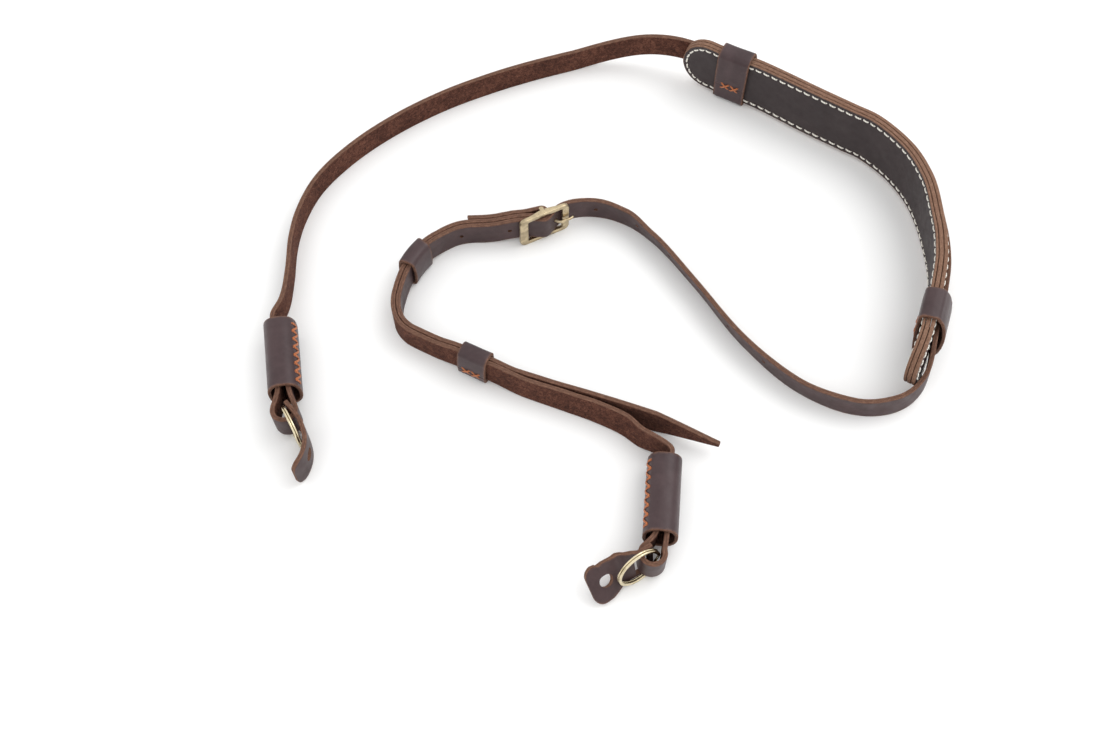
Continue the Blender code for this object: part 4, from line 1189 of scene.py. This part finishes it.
def cross_stitches(skin, spot_at, centres):
    """Crossed double threads over a seam at each centre."""
    for centre in centres:
        for strand in (-0.5, 0.5):
            offset = strand * SEAM_THREAD * 1.15
            for turn, lift in ((1, 0.0), (-1, SEAM_THREAD * 0.55)):
                first = (-CROSS_ACROSS, centre - turn * CROSS_ALONG + offset)
                second = (CROSS_ACROSS, centre + turn * CROSS_ALONG + offset)
                lay_stitch(skin, spot_at, first, second, SEAM_THREAD, lift)


def keeper(name, at, outline, mark, length, leathers, thread, centres, shift):
    """Loop of leather, with its crossed stitches where it has any."""
    start = mark - length / 2
    end = mark + length / 2
    skin = Skin(name + "_leather", leathers, shift)
    skin.sweep(loop_rows(at, outline, start, end, KEEPER_WALL), strip_zones())
    made = [skin.finish()]
    if centres:
        skin = Skin(name + "_stitches", [thread], shift)
        places = [mark + centre for centre in centres]
        cross_stitches(skin, loop_spot(at, outline, KEEPER_WALL), places)
        made.append(skin.finish())
    return made


def strap_outline():
    low = -KEEPER_ROOM
    high = STRAP_WIDTH + KEEPER_ROOM
    left = STRAP_THICKNESS / 2 + KEEPER_ROOM
    right = -STRAP_THICKNESS / 2 - PAIR_STEP - KEEPER_ROOM
    radius = 3 * KEEPER_ROUND
    corners = ((right, low, radius), (left, low, radius), (left, high, radius), (right, high, radius))
    return rounded_outline(corners, STRAP_KEEPER_SEAM, LOOP_BULGE)


def pad_outline():
    front = -STRAP_THICKNESS / 2 - LAYER_GAP - PAD_THICKNESS - KEEPER_ROOM
    pad_behind = -STRAP_THICKNESS / 2 - LAYER_GAP + KEEPER_ROOM
    behind = STRAP_THICKNESS / 2 + KEEPER_ROOM + PAD_KEEPER_ROOM
    low = -KEEPER_ROOM
    high = PAD_WIDTH + KEEPER_ROOM
    strap_low = PAD_BELOW - KEEPER_ROOM
    strap_high = PAD_BELOW + STRAP_WIDTH + KEEPER_ROOM
    tight = 3 * KEEPER_ROUND
    wide = PAD_KEEPER_BACK_ROUND
    corners = (
        (front, low, tight),
        (pad_behind, low, tight),
        (behind, strap_low, wide),
        (behind, strap_high, wide),
        (pad_behind, high, tight),
        (front, high, tight),
    )
    return rounded_outline(corners, PAD_KEEPER_SEAM, LOOP_BULGE)


def sleeve_outline():
    """Oval of a sleeve, from its seam round to its seam again."""
    steps = 96
    power = 2 / SLEEVE_ROUNDNESS
    opening = SEAM_GAP / SLEEVE_HALF_HEIGHT

    def spot(angle):
        cosine = math.cos(angle)
        sine = math.sin(angle)
        aside = math.copysign(abs(cosine) ** power, cosine) * SLEEVE_HALF_WIDTH
        height = math.copysign(abs(sine) ** power, sine) * SLEEVE_HALF_HEIGHT
        return Vector((aside, height))

    spots = []
    normals = []
    for step in range(steps + 1):
        angle = SLEEVE_SEAM + opening / 2 + (math.tau - opening) * step / steps
        ahead = (spot(angle + 0.01) - spot(angle - 0.01)).normalized()
        spots.append(spot(angle))
        normals.append(Vector((ahead.y, -ahead.x)))
    return Outline(spots, normals)


def sleeve(name, end, leathers, thread, shift):
    """Rolled sleeve, its edges sewn together with rungs and crosses over the seam."""

    def frame_at(place):
        return end.place(0.0, place) + UP * SLEEVE_MIDDLE, end.to_ring, UP

    at = carrier(frame_at)
    outline = sleeve_outline()
    skin = Skin(name + "_leather", leathers, shift)
    skin.sweep(loop_rows(at, outline, -SLEEVE_LENGTH, 0.0, SLEEVE_WALL), strip_zones())
    made = [skin.finish()]
    skin = Skin(name + "_stitches", [thread], shift)
    spots = loop_spot(at, outline, SLEEVE_WALL)
    pitch = (SLEEVE_LENGTH - 2 * SLEEVE_STITCH_MARGIN) / SLEEVE_STITCH_GROUPS
    across = SLEEVE_STITCH_ACROSS
    for number in range(SLEEVE_STITCH_GROUPS + 1):
        place = -SLEEVE_LENGTH + SLEEVE_STITCH_MARGIN + pitch * number
        for strand in (-0.5, 0.5):
            offset = strand * SEAM_THREAD * 1.1
            first = (-across, place + offset)
            lay_stitch(skin, spots, first, (across, place + offset), SEAM_THREAD)
            if number < SLEEVE_STITCH_GROUPS:
                last = (across, place + pitch + offset)
                lay_stitch(skin, spots, first, last, SEAM_THREAD, SEAM_THREAD / 2)
    made.append(skin.finish())
    return made


def split_ring(name, end, brass, shift):
    """Flattened wire wound twice round. It jogs over where its ends lie side by side."""
    radius = (RING_INSIDE + RING_WIRE_DEPTH) / 2
    centre = end.ring_centre()
    steps = 200
    sides = 14
    turn = 2 * math.tau - RING_JOG
    rows = []
    for step in range(steps + 1):
        swept = turn * step / steps
        angle = RING_WIRE_START + swept
        spoke = end.ring_way * math.cos(angle) + end.ring_up * math.sin(angle)
        over = (swept - (math.tau - RING_JOG)) / RING_JOG
        shift_side = RING_PITCH * (ease(over) - 0.5)
        middle = centre + spoke * radius + end.ring_side * shift_side
        from_end = min(step, steps - step)
        full = 1.0 if from_end >= 2 else (0.7, 0.93)[from_end]
        row = []
        for side in range(sides):
            tip = math.tau * side / sides
            cosine = math.cos(tip)
            sine = math.sin(tip)
            out = math.copysign(abs(cosine) ** 0.75, cosine) * RING_WIRE_DEPTH / 2 * full
            aside = math.copysign(abs(sine) ** 0.75, sine) * RING_WIRE_THICKNESS / 2 * full
            row.append((middle + spoke * out + end.ring_side * aside, side / sides, side / sides))
        rows.append((swept * radius, row))
    skin = Skin(name + "_wire", [brass], shift)
    skin.sweep(rows, [0] * sides)
    return skin.finish()


def flap_slot(route, end):
    """Middle, direction and size of the slot, where the leaning flap crosses the fold."""

    def spoke(place, height):
        foot, _, up = route.frame(place)
        spot = foot + up * height - end.fold
        return Vector((spot.x, spot.y, 0.0))

    crossings = []
    for height in (FLAP_MARGIN, FLAP_HEIGHT / 2, FLAP_HEIGHT - FLAP_MARGIN):
        nearest = min(route.lengths, key=lambda place: abs(spoke(place, height).length - FOLD_RADIUS))
        crossings.append(nearest)
    middle = (min(crossings) + max(crossings)) / 2
    way = route.ahead(middle)
    lean_in = min(abs(way.dot(spoke(place, FLAP_HEIGHT / 2).normalized())) for place in crossings)
    slot = (STRAP_THICKNESS + FLAP_THICKNESS * math.sqrt(1 - lean_in ** 2)) / lean_in + SLOT_ROOM
    slot += max(crossings) - min(crossings)
    foot, _, up = route.frame(middle)
    centre = foot + up * (FLAP_HEIGHT / 2)
    centre.z = SLEEVE_MIDDLE
    return centre, way, (slot, 4 * FLAP_THICKNESS, STRAP_WIDTH + 2 * FIT_GAP)


def ring_flap(name, end, table, leathers, shift):
    """Flap threaded on the fold by a slot, running beside the ring to a round end."""
    knots = []
    for along, aside, lean in table:
        knots.append(end.fold + (end.ring_way * along + end.flap_side * aside) * FLAP_LENGTH)
    leans = [row[2] for row in table]
    half = FLAP_HEIGHT / 2
    rises = [FLAP_THICKNESS / 2 * math.sin(math.radians(abs(lean))) for lean in leans]
    lifts = [SLEEVE_MIDDLE - half + rise for rise in rises]
    route = Route(knots, leans, lifts)
    corner = half * FLAP_CORNER_SHARE

    def edges(place):
        from_end = route.length - place
        tall = half
        if from_end < corner:
            tall = half - corner + math.sqrt(max(corner ** 2 - (corner - from_end) ** 2, 0.0))
        return half - tall, half + tall

    bend = [corner * (1 - math.cos(math.radians(angle))) for angle in range(15, 90, 8)]
    extra = [route.length - step for step in bend] + end_stops(0.0, route.length)
    places = route.stations(0.0, route.length, extra)
    skin = Skin(name + "_leather", leathers, shift)
    skin.sweep(band_rows(carrier(route.frame), places, edges, FLAP_THICKNESS), strip_zones())
    flap = skin.finish()
    opening = box(name + "_slot", *flap_slot(route, end))
    foot, across, up = route.frame(FLAP_HOLE_SHARE * route.length)
    hole = cylinder(name + "_hole", foot + up * half, across, FLAP_HOLE_DIAMETER, 4 * FLAP_THICKNESS)
    carve(flap, [opening, hole], shift)
    return flap


def rounded_ring(half_wide, half_tall, radius, centre, count):
    """Points round a rectangle with rounded corners, evenly spread over its four quarters."""
    points = []
    quarter = count // 4
    for side in range(4):
        turn = math.pi / 2 * side
        for step in range(quarter):
            angle = turn - math.pi / 4 + math.pi / 2 * step / quarter
            cosine = math.cos(angle)
            sine = math.sin(angle)
            grow = min(half_wide / max(abs(cosine), SHEER), half_tall / max(abs(sine), SHEER))
            points.append(Vector((centre + cosine * grow, sine * grow)))
    rounded = []
    for point in points:
        east = min(max(point.x, centre - half_wide + radius), centre + half_wide - radius)
        level = min(max(point.y, -half_tall + radius), half_tall - radius)
        core = Vector((east, level))
        reach = point - core
        if reach.x and reach.y:
            point = core + reach.normalized() * radius
        rounded.append(point)
    return rounded


def rail_swell(east):
    """How far the buckle's rails reach back past its end bars."""
    middle = (Buckle.left_edge + Buckle.right_edge) / 2
    share = min(abs(east - middle) / (Buckle.right_edge - Buckle.left_edge) * 2, 1.0)
    return RAIL_SWELL * (1 + math.cos(math.pi * share)) / 2


def buckle_frame(brass, shift):
    """Flat-fronted frame with softened edges, and the centre bar that its rails hold."""
    count = 160
    centre = (Buckle.left_edge + Buckle.right_edge) / 2
    half_window = (Buckle.right_edge - Buckle.left_edge) / 2
    inner_tall = BUCKLE_HEIGHT / 2 - BUCKLE_RAIL
    inner = rounded_ring(half_window, inner_tall, WINDOW_CORNER, centre, count)
    outer = rounded_ring(BUCKLE_LENGTH / 2, BUCKLE_HEIGHT / 2, BUCKLE_CORNER, 0.0, count)
    steps = 4
    profile = []
    for outside, front in ((True, True), (True, False), (False, False), (False, True)):
        for step in range(steps + 1):
            profile.append((outside, front, step / steps))
    rows = []
    length = 0.0
    for index in range(count):
        near = inner[index]
        far = outer[index]
        across = far - near
        soft = min(BUCKLE_EDGE, 0.45 * across.length)
        row = []
        for outside, front, share in profile:
            rising = soft - soft * math.sin(math.pi / 2 * share)
            falling = soft - soft * math.cos(math.pi / 2 * share)
            from_side, from_face = (rising, falling) if outside == front else (falling, rising)
            reach = across.length - from_side if outside else from_side
            spot = near + across.normalized() * reach
            over = BUCKLE_THICKNESS - from_face if front else from_face - rail_swell(spot.x)
            point = Buckle.place(spot.x, over, BUCKLE_HEIGHT / 2 + spot.y)
            row.append((point, reach / MM, share))
        rows.append((length, row))
        length += (outer[(index + 1) % count] - far).length
    skin = Skin("buckle_frame_brass", [brass], shift)
    skin.sweep(rows, [0] * len(profile), endless=True)
    frame = skin.finish(merge=SHEER)
    middle = Buckle.place(0.0, -BUCKLE_BOW, BUCKLE_HEIGHT / 2)
    held = [cylinder("centre_bar", middle, UP, CENTRE_BAR, BUCKLE_HEIGHT - BUCKLE_RAIL / 2)]
    for level in (-1, 1):
        height = BUCKLE_HEIGHT / 2 + level * (BUCKLE_HEIGHT - BUCKLE_RAIL) / 2
        size = (0.9 * CENTRE_BAR, BUCKLE_BOW, 0.6 * BUCKLE_RAIL)
        lug = Buckle.place(0.0, -BUCKLE_BOW / 2, height)
        held.append(box(f"bar_lug_{level + 1}", lug, Buckle.east, size))
    combine(frame, held, "UNION", shift)
    return frame


def buckle_tongue(route, marks, brass, shift):
    """Round wire with a slim, blunt tip, bent round the bar and over the frame."""
    knots = tongue_points(route, marks)
    points = smooth_line(knots, TONGUE_STEP)[0]
    lengths = running_lengths(points)
    rows = []
    sides = 16
    for index, point in enumerate(points):
        side = way_at(points, index).cross(UP).normalized()
        to_tip = lengths[-1] - lengths[index]
        thin = min(1.0, 0.72 + 0.28 * to_tip / (5 * MM))
        from_end = min(to_tip, lengths[index])
        if from_end < TONGUE / 3:
            thin *= math.sqrt(max(1 - (1 - from_end / (TONGUE / 3)) ** 2, 0.15))
        row = []
        for step in range(sides):
            angle = math.tau * step / sides
            offset = (side * math.cos(angle) + UP * math.sin(angle)) * TONGUE / 2 * thin
            row.append((point + offset, step / sides, step / sides))
        rows.append((lengths[index], row))
    skin = Skin("buckle_tongue_brass", [brass], shift)
    skin.sweep(rows, [0] * sides)
    return skin.finish()


class Look:
    """A procedural material under construction."""

    def __init__(self, name, **fixed):
        self.material = bpy.data.materials.new(name)
        self.material.use_nodes = True
        self.tree = self.material.node_tree
        self.shader = self.tree.nodes["Principled BSDF"]
        for label, value in fixed.items():
            self.shader.inputs[label.replace("_", " ")].default_value = value
        self.spots = self.add("ShaderNodeTexCoord").outputs["Object"]
        self.marks = self.add("ShaderNodeTexCoord").outputs["UV"]

    def add(self, kind, **fed):
        node = self.tree.nodes.new(kind)
        for label, value in fed.items():
            self.feed(node.inputs[label.replace("_", " ")], value)
        return node

    def feed(self, socket, value):
        if isinstance(value, bpy.types.NodeSocket):
            self.tree.links.new(value, socket)
        else:
            socket.default_value = value

    def noise(self, scale, detail=3.0, roughness=0.5, distortion=0.0, vector=None):
        node = self.add(
            "ShaderNodeTexNoise", Vector=vector or self.spots, Scale=scale, Detail=detail,
            Roughness=roughness, Distortion=distortion,
        )
        return node.outputs["Fac"]

    def cells(self, scale):
        node = self.tree.nodes.new("ShaderNodeTexVoronoi")
        node.feature = "SMOOTH_F1"
        self.feed(node.inputs["Vector"], self.spots)
        node.inputs["Scale"].default_value = scale
        return node.outputs["Distance"]

    def math(self, operation, first, second=0.0, third=0.0):
        node = self.tree.nodes.new("ShaderNodeMath")
        node.operation = operation
        for socket, value in zip(node.inputs, (first, second, third)):
            self.feed(socket, value)
        return node.outputs["Value"]

    def ramp(self, value, low, high, start=0.0, end=1.0):
        """Straight change from start to end as the value goes from low to high."""
        node = self.tree.nodes.new("ShaderNodeMapRange")
        labels = ("Value", "From Min", "From Max", "To Min", "To Max")
        for label, number in zip(labels, (value, low, high, start, end)):
            self.feed(node.inputs[label], number)
        return node.outputs["Result"]

    def colours(self, value, stops):
        node = self.tree.nodes.new("ShaderNodeValToRGB")
        self.feed(node.inputs["Fac"], value)
        ramp = node.color_ramp
        while len(ramp.elements) < len(stops):
            ramp.elements.new(0.5)
        for element, (place, colour) in zip(ramp.elements, stops):
            element.position = place
            element.color = (*colour, 1.0)
        return node.outputs["Color"]

    def mix(self, share, first, second):
        node = self.tree.nodes.new("ShaderNodeMix")
        node.data_type = "RGBA"
        for socket, value in ((node.inputs[0], share), (node.inputs[6], first), (node.inputs[7], second)):
            if isinstance(value, tuple):
                value = (*value, 1.0)
            self.feed(socket, value)
        return node.outputs[2]

    def mark(self, axis):
        """Length along the mesh as X, or place across it as Y."""
        return self.add("ShaderNodeSeparateXYZ", Vector=self.marks).outputs[axis]

    def stretched(self, along, across):
        """The lengths and widths of the mesh, stretched to make streaks."""
        node = self.tree.nodes.new("ShaderNodeMapping")
        self.feed(node.inputs["Vector"], self.marks)
        node.inputs["Scale"].default_value = (along, across, 1.0)
        return node.outputs["Vector"]

    def bump(self, height, distance, strength=1.0, under=None):
        node = self.add("ShaderNodeBump", Height=height, Distance=distance, Strength=strength)
        if under is not None:
            self.feed(node.inputs["Normal"], under)
        return node.outputs["Normal"]

    def set(self, label, value):
        self.feed(self.shader.inputs[label], value)


def smooth_leather(name, dark, light, worn, rough=(0.42, 0.60), grain=1.0):
    """Waxed grain side: fine pebbles and pores, cloudy colour, edges rubbed lighter."""
    look = Look(name, Specular_IOR_Level=0.34)
    clouds = look.noise(55.0, 5.0, 0.6, 0.6)
    mottle = look.noise(420.0, 4.0, 0.6)
    shade = look.math("MULTIPLY_ADD", clouds, 0.75, look.math("MULTIPLY", mottle, 0.25))
    colour = look.colours(shade, ((0.34, dark), (0.66, light)))
    rubbed = look.ramp(look.mark("Y"), 0.1, 1.3, 1.0, 0.0)
    patchy = look.ramp(look.noise(260.0, 4.0, 0.65), 0.38, 0.62)
    colour = look.mix(look.math("MULTIPLY", rubbed, look.math("MULTIPLY", patchy, 0.7)), colour, worn)
    look.set("Base Color", colour)
    look.set("Roughness", look.ramp(look.noise(190.0, 4.0, 0.6), 0.3, 0.7, *rough))
    pebbles = look.bump(look.cells(1500.0), 0.00006 * grain, 0.5)
    pores = look.bump(look.noise(3200.0, 3.0, 0.6), 0.00004 * grain, 0.4, pebbles)
    creases = look.bump(look.noise(160.0, 5.0, 0.55, 1.2), 0.00018, 0.35, pores)
    look.set("Normal", creases)
    return look.material


def suede_leather(name, dark, middle, light):
    """Flesh side: short fibres, brushed patches, soft sheen."""
    look = Look(name, Sheen_Weight=0.06, Sheen_Roughness=0.5, Specular_IOR_Level=0.12)
    look.shader.inputs["Sheen Tint"].default_value = (0.80, 0.45, 0.34, 1.0)
    fibres = look.noise(1150.0, 8.0, 0.82, 1.6)
    tufts = look.noise(560.0, 6.0, 0.74, 1.0)
    patches = look.noise(70.0, 4.0, 0.6, 0.8)
    fine = look.math("MULTIPLY_ADD", fibres, 0.50, look.math("MULTIPLY", tufts, 0.34))
    shade = look.math("MULTIPLY_ADD", patches, 0.12, look.math("ADD", fine, 0.02))
    look.set("Base Color", look.colours(shade, ((0.42, dark), (0.50, middle), (0.585, light))))
    look.set("Roughness", look.ramp(fibres, 0.3, 0.7, 0.85, 1.0))
    raised = look.bump(tufts, 0.00045, 0.8, look.bump(fibres, 0.00030, 0.8))
    look.set("Normal", look.bump(patches, 0.0006, 0.3, raised))
    return look.material


def raw_edge(name, dark, middle, light, lined):
    """Cut edge: pressed fibres, and a darker line along its middle where it is lined."""
    look = Look(name, Specular_IOR_Level=0.28)
    depth = look.mark("Y")
    streaks = look.noise(1.0, 6.0, 0.65, 0.4, look.stretched(420.0, 7.0))
    fibres = look.noise(1500.0, 6.0, 0.7)
    shade = look.math("MULTIPLY_ADD", streaks, 0.6, look.math("MULTIPLY", fibres, 0.4))
    colour = look.colours(shade, ((0.36, dark), (0.50, middle), (0.64, light)))
    under = None
    if lined:
        wander = look.math("MULTIPLY_ADD", look.noise(240.0, 3.0), 0.28, -0.14)
        from_middle = look.math("ABSOLUTE", look.math("ADD", look.math("SUBTRACT", depth, 0.5), wander))
        line = look.ramp(from_middle, 0.02, 0.15, 1.0, 0.0)
        colour = look.mix(look.math("MULTIPLY", line, lined), colour, tuple(0.45 * part for part in dark))
        under = look.bump(line, 0.00008, 0.5)
        under.node.invert = True
    look.set("Base Color", colour)
    look.set("Roughness", look.ramp(fibres, 0.3, 0.7, 0.62, 0.9))
    look.set("Normal", look.bump(shade, 0.00022, 0.6, under))
    return look.material


def waxed_thread(name, dark, light):
    """Twisted thread: slanting strands across a round cord, coloured darker in the grooves between them as
    painted shade.
    """
    look = Look(name, Specular_IOR_Level=0.4, Sheen_Weight=0.15)
    along = look.math("MULTIPLY", look.mark("X"), 1.0 / THREAD_TWIST)
    strand = look.math("ADD", along, look.mark("Y"))
    wave = look.math("ABSOLUTE", look.math("SINE", look.math("MULTIPLY", strand, math.pi)))
    hairs = look.noise(2600.0, 4.0, 0.7)
    # Painted shade: the colour runs to the dark tone where the twist wave sinks into a groove between
    # strands; the hairs add random tone.
    shade = look.math("MULTIPLY_ADD", wave, 0.7, look.math("MULTIPLY", hairs, 0.3))
    look.set("Base Color", look.colours(shade, ((0.15, dark), (0.75, light))))
    look.set("Roughness", look.ramp(hairs, 0.3, 0.7, 0.55, 0.8))
    look.set("Normal", look.bump(wave, 0.00010, 0.8))
    return look.material


def aged_brass(name, bright, dull, stain, rough=(0.22, 0.44)):
    """Antique brass: cloudy patina, darker stains and fine scratches."""
    look = Look(name, Metallic=1.0)
    clouds = look.noise(260.0, 5.0, 0.6, 0.5)
    colour = look.colours(clouds, ((0.35, dull), (0.62, bright)))
    stains = look.ramp(look.noise(620.0, 5.0, 0.7), 0.56, 0.72)
    look.set("Base Color", look.mix(look.math("MULTIPLY", stains, 0.6), colour, stain))
    scratches = look.noise(1.0, 4.0, 0.7, 0.2, look.stretched(90.0, 22.0))
    worn = look.math("MULTIPLY_ADD", clouds, 0.6, look.math("MULTIPLY", scratches, 0.4))
    look.set("Roughness", look.ramp(worn, 0.35, 0.65, rough[1], rough[0]))
    fine = look.bump(scratches, 0.00002, 0.4)
    look.set("Normal", look.bump(look.noise(900.0, 4.0, 0.6), 0.00003, 0.5, fine))
    return look.material


def paper_floor():
    look = Look("pale_floor", Specular_IOR_Level=0.2)
    stops = ((0.3, (0.905, 0.905, 0.90)), (0.7, (0.92, 0.92, 0.915)))
    look.set("Base Color", look.colours(look.noise(3.0, 4.0), stops))
    look.set("Roughness", look.ramp(look.noise(40.0, 3.0), 0.3, 0.7, 0.75, 0.9))
    return look.material


def make_materials():
    smooth = smooth_leather(
        "leather_smooth", (0.038, 0.0190, 0.0195), (0.066, 0.036, 0.036), (0.17, 0.078, 0.050)
    )
    loops = smooth_leather(
        "leather_loops", (0.036, 0.019, 0.0205), (0.062, 0.036, 0.038), (0.19, 0.095, 0.063), (0.34, 0.50)
    )
    pad = smooth_leather(
        "leather_pad", (0.026, 0.0175, 0.018), (0.038, 0.0265, 0.027), (0.07, 0.045, 0.04), (0.52, 0.68), 0.7
    )
    suede = suede_leather("leather_suede", (0.024, 0.009, 0.007), (0.072, 0.027, 0.018), (0.19, 0.080, 0.052))
    inside = suede_leather(
        "leather_inside", (0.045, 0.021, 0.015), (0.085, 0.041, 0.029), (0.15, 0.075, 0.053)
    )
    edge = raw_edge("leather_edge", (0.060, 0.027, 0.017), (0.130, 0.062, 0.039), (0.25, 0.132, 0.086), 0.35)
    layer = raw_edge(
        "leather_layer_edge", (0.090, 0.043, 0.027), (0.185, 0.098, 0.062), (0.31, 0.185, 0.125), 0.0
    )
    return {
        "strap": [smooth, edge, suede],
        "loop": [loops, edge, inside],
        "pad_front": [pad, layer, inside],
        "pad_core": [inside, layer, inside],
        "pad_back": [inside, layer, smooth],
        "white thread": waxed_thread("thread_natural", (0.55, 0.50, 0.42), (0.86, 0.83, 0.76)),
        "orange thread": waxed_thread("thread_orange", (0.20, 0.052, 0.015), (0.50, 0.155, 0.048)),
        "brass": aged_brass("brass_frame", (0.58, 0.475, 0.305), (0.36, 0.29, 0.19), (0.14, 0.105, 0.07)),
        "ring brass": aged_brass(
            "brass_ring", (0.78, 0.69, 0.49), (0.60, 0.51, 0.33), (0.24, 0.18, 0.11), (0.16, 0.32)
        ),
    }


def dress(shift, left, right):
    """Build every piece, attach each to the root body, and hide the solid that it stands for."""
    looks = make_materials()
    main, marks = main_route(left)
    short, wrapped = buckle_route(main, marks, right)

    def show(item, slot, *nodes):
        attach(item, "root")
        if nodes:
            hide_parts(*nodes)

    show(main_strap(main, marks, looks["strap"], shift), "main_strap", "main_strap")
    show(buckle_strap(short, wrapped, looks["strap"], shift), "buckle_strap", "buckle_strap")
    for node, item in pad_layers(main, marks, looks, shift).items():
        show(item, node, node)
    strap_side = -STRAP_THICKNESS / 2 - LAYER_GAP
    front_face = strap_side - PAD_THICKNESS
    freed = marks["right pad keeper"] + PAD_KEEPER_LENGTH / 2 + PAD_STITCH_CLEAR
    covered = (PAD_BELOW - STRAP_STITCH_CLEAR, PAD_BELOW + STRAP_WIDTH + STRAP_STITCH_CLEAR)

    def everywhere(place, height):
        return True

    def beside_strap(place, height):
        return place > freed or not covered[0] < height < covered[1]

    white = looks["white thread"]
    orange = looks["orange thread"]
    rows = (
        ("pad_front_stitches", front_face, -1, everywhere),
        ("pad_back_stitches", strap_side, 1, beside_strap),
    )
    for name, face, outward, keep in rows:
        show(pad_stitches(name, main, marks, face, outward, keep, white, shift), None)
    beside_pad = carrier(lambda place: pad_frame(main, place))
    beside = carrier(main.frame)
    pair = (-CROSS_SPREAD, CROSS_SPREAD)
    keepers = (
        ("pad_keeper_left", beside_pad, pad_outline(), "left pad keeper", PAD_KEEPER_LENGTH, pair),
        ("pad_keeper_right", beside_pad, pad_outline(), "right pad keeper", PAD_KEEPER_LENGTH, pair),
        ("strap_keeper_upper", beside, strap_outline(), "upper keeper", STRAP_KEEPER_LENGTH, ()),
        ("strap_keeper_lower", beside, strap_outline(), "lower keeper", STRAP_KEEPER_LENGTH, pair),
    )
    for name, at, outline, mark, length, centres in keepers:
        made = keeper(name, at, outline, marks[mark], length, looks["loop"], orange, centres, shift)
        show(made[0], "keeper", name)
        for item in made[1:]:
            show(item, None)
    for side, end in (("left", left), ("right", right)):
        body, stitches = sleeve(f"end_sleeve_{side}", end, looks["loop"], orange, shift)
        show(body, "sleeve", f"end_sleeve_{side}")
        show(stitches, None)
        ring = split_ring(f"split_ring_{side}", end, looks["ring brass"], shift)
        show(ring, "ring", f"split_ring_{side}")
        flap = ring_flap(f"ring_flap_{side}", end, FLAP_ROUTES[side], looks["strap"], shift)
        show(flap, "flap", f"ring_flap_{side}")
    show(buckle_frame(looks["brass"], shift), "frame", "buckle_frame")
    show(buckle_tongue(main, marks, looks["brass"], shift), "tongue", "buckle_tongue")


def set_floor():
    bpy.ops.mesh.primitive_plane_add(size=FLOOR_SIZE, location=(0.0, 0.0, 0.0))
    floor = bpy.context.object
    floor.name = "pale_floor"
    floor.data.materials.append(paper_floor())


def set_lights():
    world = bpy.data.worlds.new("studio")
    world.use_nodes = True
    world.node_tree.nodes["Background"].inputs["Color"].default_value = (1.0, 1.0, 1.0, 1.0)
    world.node_tree.nodes["Background"].inputs["Strength"].default_value = 1.12
    bpy.context.scene.world = world
    lamps = (
        # name, place, size, power
        ("window", (0.75, 0.40, 1.20), 1.2, 7.0),
        ("fill", (-0.6, -0.9, 1.3), 1.2, 1.5),
    )
    for name, place, size, power in lamps:
        light = bpy.data.lights.new(name, "AREA")
        light.shape = "DISK"
        light.size = size
        light.energy = power
        lamp = bpy.data.objects.new(name, light)
        bpy.context.scene.collection.objects.link(lamp)
        lamp.location = place
        lamp.rotation_euler = (-Vector(place)).to_track_quat("-Z", "Y").to_euler()
    bpy.context.scene.view_settings.view_transform = "Standard"


def set_camera(shift):
    data = bpy.data.cameras.new("view")
    data.lens = CAMERA_LENS
    data.sensor_width = CAMERA_SENSOR
    data.sensor_fit = "HORIZONTAL"
    data.clip_start = 0.01
    camera = bpy.data.objects.new("view", data)
    camera.location = CAMERA_PLACE + shift
    camera.rotation_euler = (CAMERA_TILT, 0.0, 0.0)
    bpy.context.scene.collection.objects.link(camera)
    bpy.context.scene.camera = camera


def compose():
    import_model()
    left = End("left")
    right = End("right")
    low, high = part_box("end_sleeve_left")
    shift = (low + high) / 2 - left.place(0.0, -SLEEVE_LENGTH / 2) - UP * SLEEVE_MIDDLE
    dress(shift, left, right)
    set_floor()
    set_lights()
    set_camera(shift)


compose()
